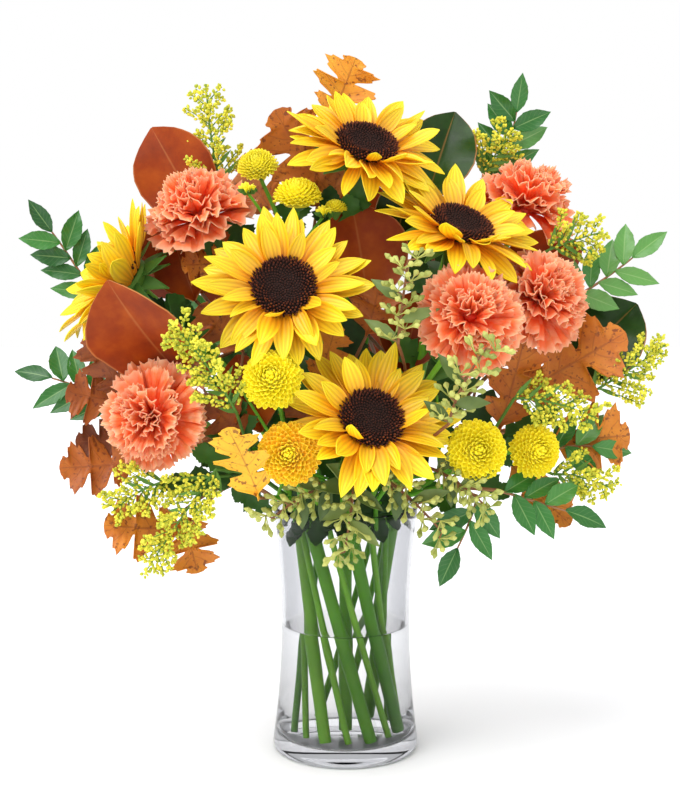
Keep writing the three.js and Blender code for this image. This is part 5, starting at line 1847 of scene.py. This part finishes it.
class BOUQUET_OT_stage(bpy.types.Operator):
    """Set a pale floor, soft lights and the camera."""

    bl_idname = "bouquet.stage"
    bl_label = "Stage"

    def execute(self, context):
        stage = context.scene.bouquet_stage
        bpy.ops.mesh.primitive_plane_add(size=8, location=(0, 0, 0))
        floor = context.object
        floor.name = "pale_floor"
        material, tree, shader = new_material("matt_white_paper")
        fill(tree, shader, {"Base Color": stage.floor_colour, "Roughness": 0.9})
        floor.data.materials.append(material)
        self.softbox(context, "key_softbox", (-1.1, -1.3, 1.7), 1.1, stage.key)
        self.softbox(context, "fill_softbox", (1.6, -1.5, 1.0), 1.6, stage.key * 0.35)
        self.softbox(context, "back_softbox", (0.3, 1.6, 1.6), 1.6, stage.key * 0.5)
        daylight = bpy.data.lights.new("daylight", "SUN")
        daylight.energy = stage.daylight
        daylight.angle = math.radians(50)
        self.place(context, daylight, (0, 0, 0), aim(Vector((0.5, 0.3, -1))))
        context.scene.world = studio_world()
        context.scene.view_settings.view_transform = "Standard"
        camera = bpy.data.cameras.new("photograph_camera")
        camera.lens = stage.lens
        camera.sensor_width = 36
        camera.clip_start = 0.05
        at = (stage.side, -stage.distance, stage.height)
        context.scene.camera = self.place(context, camera, at, (math.pi / 2 - stage.pitch, 0, 0))
        return {"FINISHED"}

    def place(self, context, data, at, turn):
        """Puts a lamp or camera into the scene."""
        made = bpy.data.objects.new(data.name, data)
        made.location = at
        made.rotation_euler = turn
        context.scene.collection.objects.link(made)
        return made

    def softbox(self, context, name, at, size, power):
        """A square soft lamp that faces the bouquet."""
        lamp = bpy.data.lights.new(name, "AREA")
        lamp.shape = "SQUARE"
        lamp.size = size
        lamp.energy = power
        self.place(context, lamp, at, aim(Vector((0, 0, 0.3)) - Vector(at)))


def aim(direction):
    """The turn that points a lamp along a direction."""
    return direction.to_track_quat("-Z", "Y").to_euler()


def studio_world():
    """A white backdrop, and walls that light the bouquet and are dimmer in its gloss and glass."""
    world = bpy.data.worlds.new("plain_studio")
    world.use_nodes = True
    tree = world.node_tree
    walls = tree.nodes["Background"]
    fill(tree, walls.inputs, {"Color": linear("#F2F3F6"), "Strength": 1.05})
    dim = add_node(tree, "ShaderNodeBackground", {"Color": (1, 1, 1, 1), "Strength": 0.6})
    backdrop = add_node(tree, "ShaderNodeBackground", {"Color": (1, 1, 1, 1), "Strength": 1.0})
    ray = add_node(tree, "ShaderNodeLightPath").outputs
    room = {0: ray["Is Glossy Ray"], 1: walls.outputs[0], 2: dim.outputs[0]}
    room = add_node(tree, "ShaderNodeMixShader", room).outputs[0]
    both = {0: ray["Is Camera Ray"], 1: room, 2: backdrop.outputs[0]}
    both = add_node(tree, "ShaderNodeMixShader", both).outputs[0]
    tree.links.new(both, tree.nodes["World Output"].inputs["Surface"])
    return world


class BOUQUET_PT_panel(bpy.types.Panel):
    """Sizes, and a button for each group of pieces."""

    bl_idname = "BOUQUET_PT_panel"
    bl_label = "Bouquet"
    bl_space_type = "VIEW_3D"
    bl_region_type = "UI"
    bl_category = "Bouquet"

    def draw(self, context):
        for group in (context.scene.bouquet_vase, context.scene.bouquet_stage):
            column = self.layout.column()
            for name in group.__annotations__:
                column.prop(group, name)
        for operator in STEPS:
            self.layout.operator(operator.bl_idname)


STEPS = (
    BOUQUET_OT_vase,
    BOUQUET_OT_water,
    BOUQUET_OT_sunflowers,
    BOUQUET_OT_carnations,
    BOUQUET_OT_poms,
    BOUQUET_OT_magnolia,
    BOUQUET_OT_oak,
    BOUQUET_OT_huckleberry,
    BOUQUET_OT_goldenrod,
    BOUQUET_OT_eucalyptus,
    BOUQUET_OT_stage,
)
CLASSES = (BouquetVaseSettings, BouquetStageSettings, *STEPS, BOUQUET_PT_panel)


def register():
    """Adds the bouquet's classes and settings to Blender."""
    for item in CLASSES:
        bpy.utils.register_class(item)
    bpy.types.Scene.bouquet_vase = bpy.props.PointerProperty(type=BouquetVaseSettings)
    bpy.types.Scene.bouquet_stage = bpy.props.PointerProperty(type=BouquetStageSettings)


def unregister():
    """Takes the bouquet's classes and settings out of Blender."""
    del bpy.types.Scene.bouquet_stage
    del bpy.types.Scene.bouquet_vase
    for item in reversed(CLASSES):
        bpy.utils.unregister_class(item)


def main():
    """Grows every piece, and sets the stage."""
    register()
    for step in STEPS:
        group, name = step.bl_idname.split(".")
        getattr(getattr(bpy.ops, group), name)()


if __name__ == "__main__":
    main()
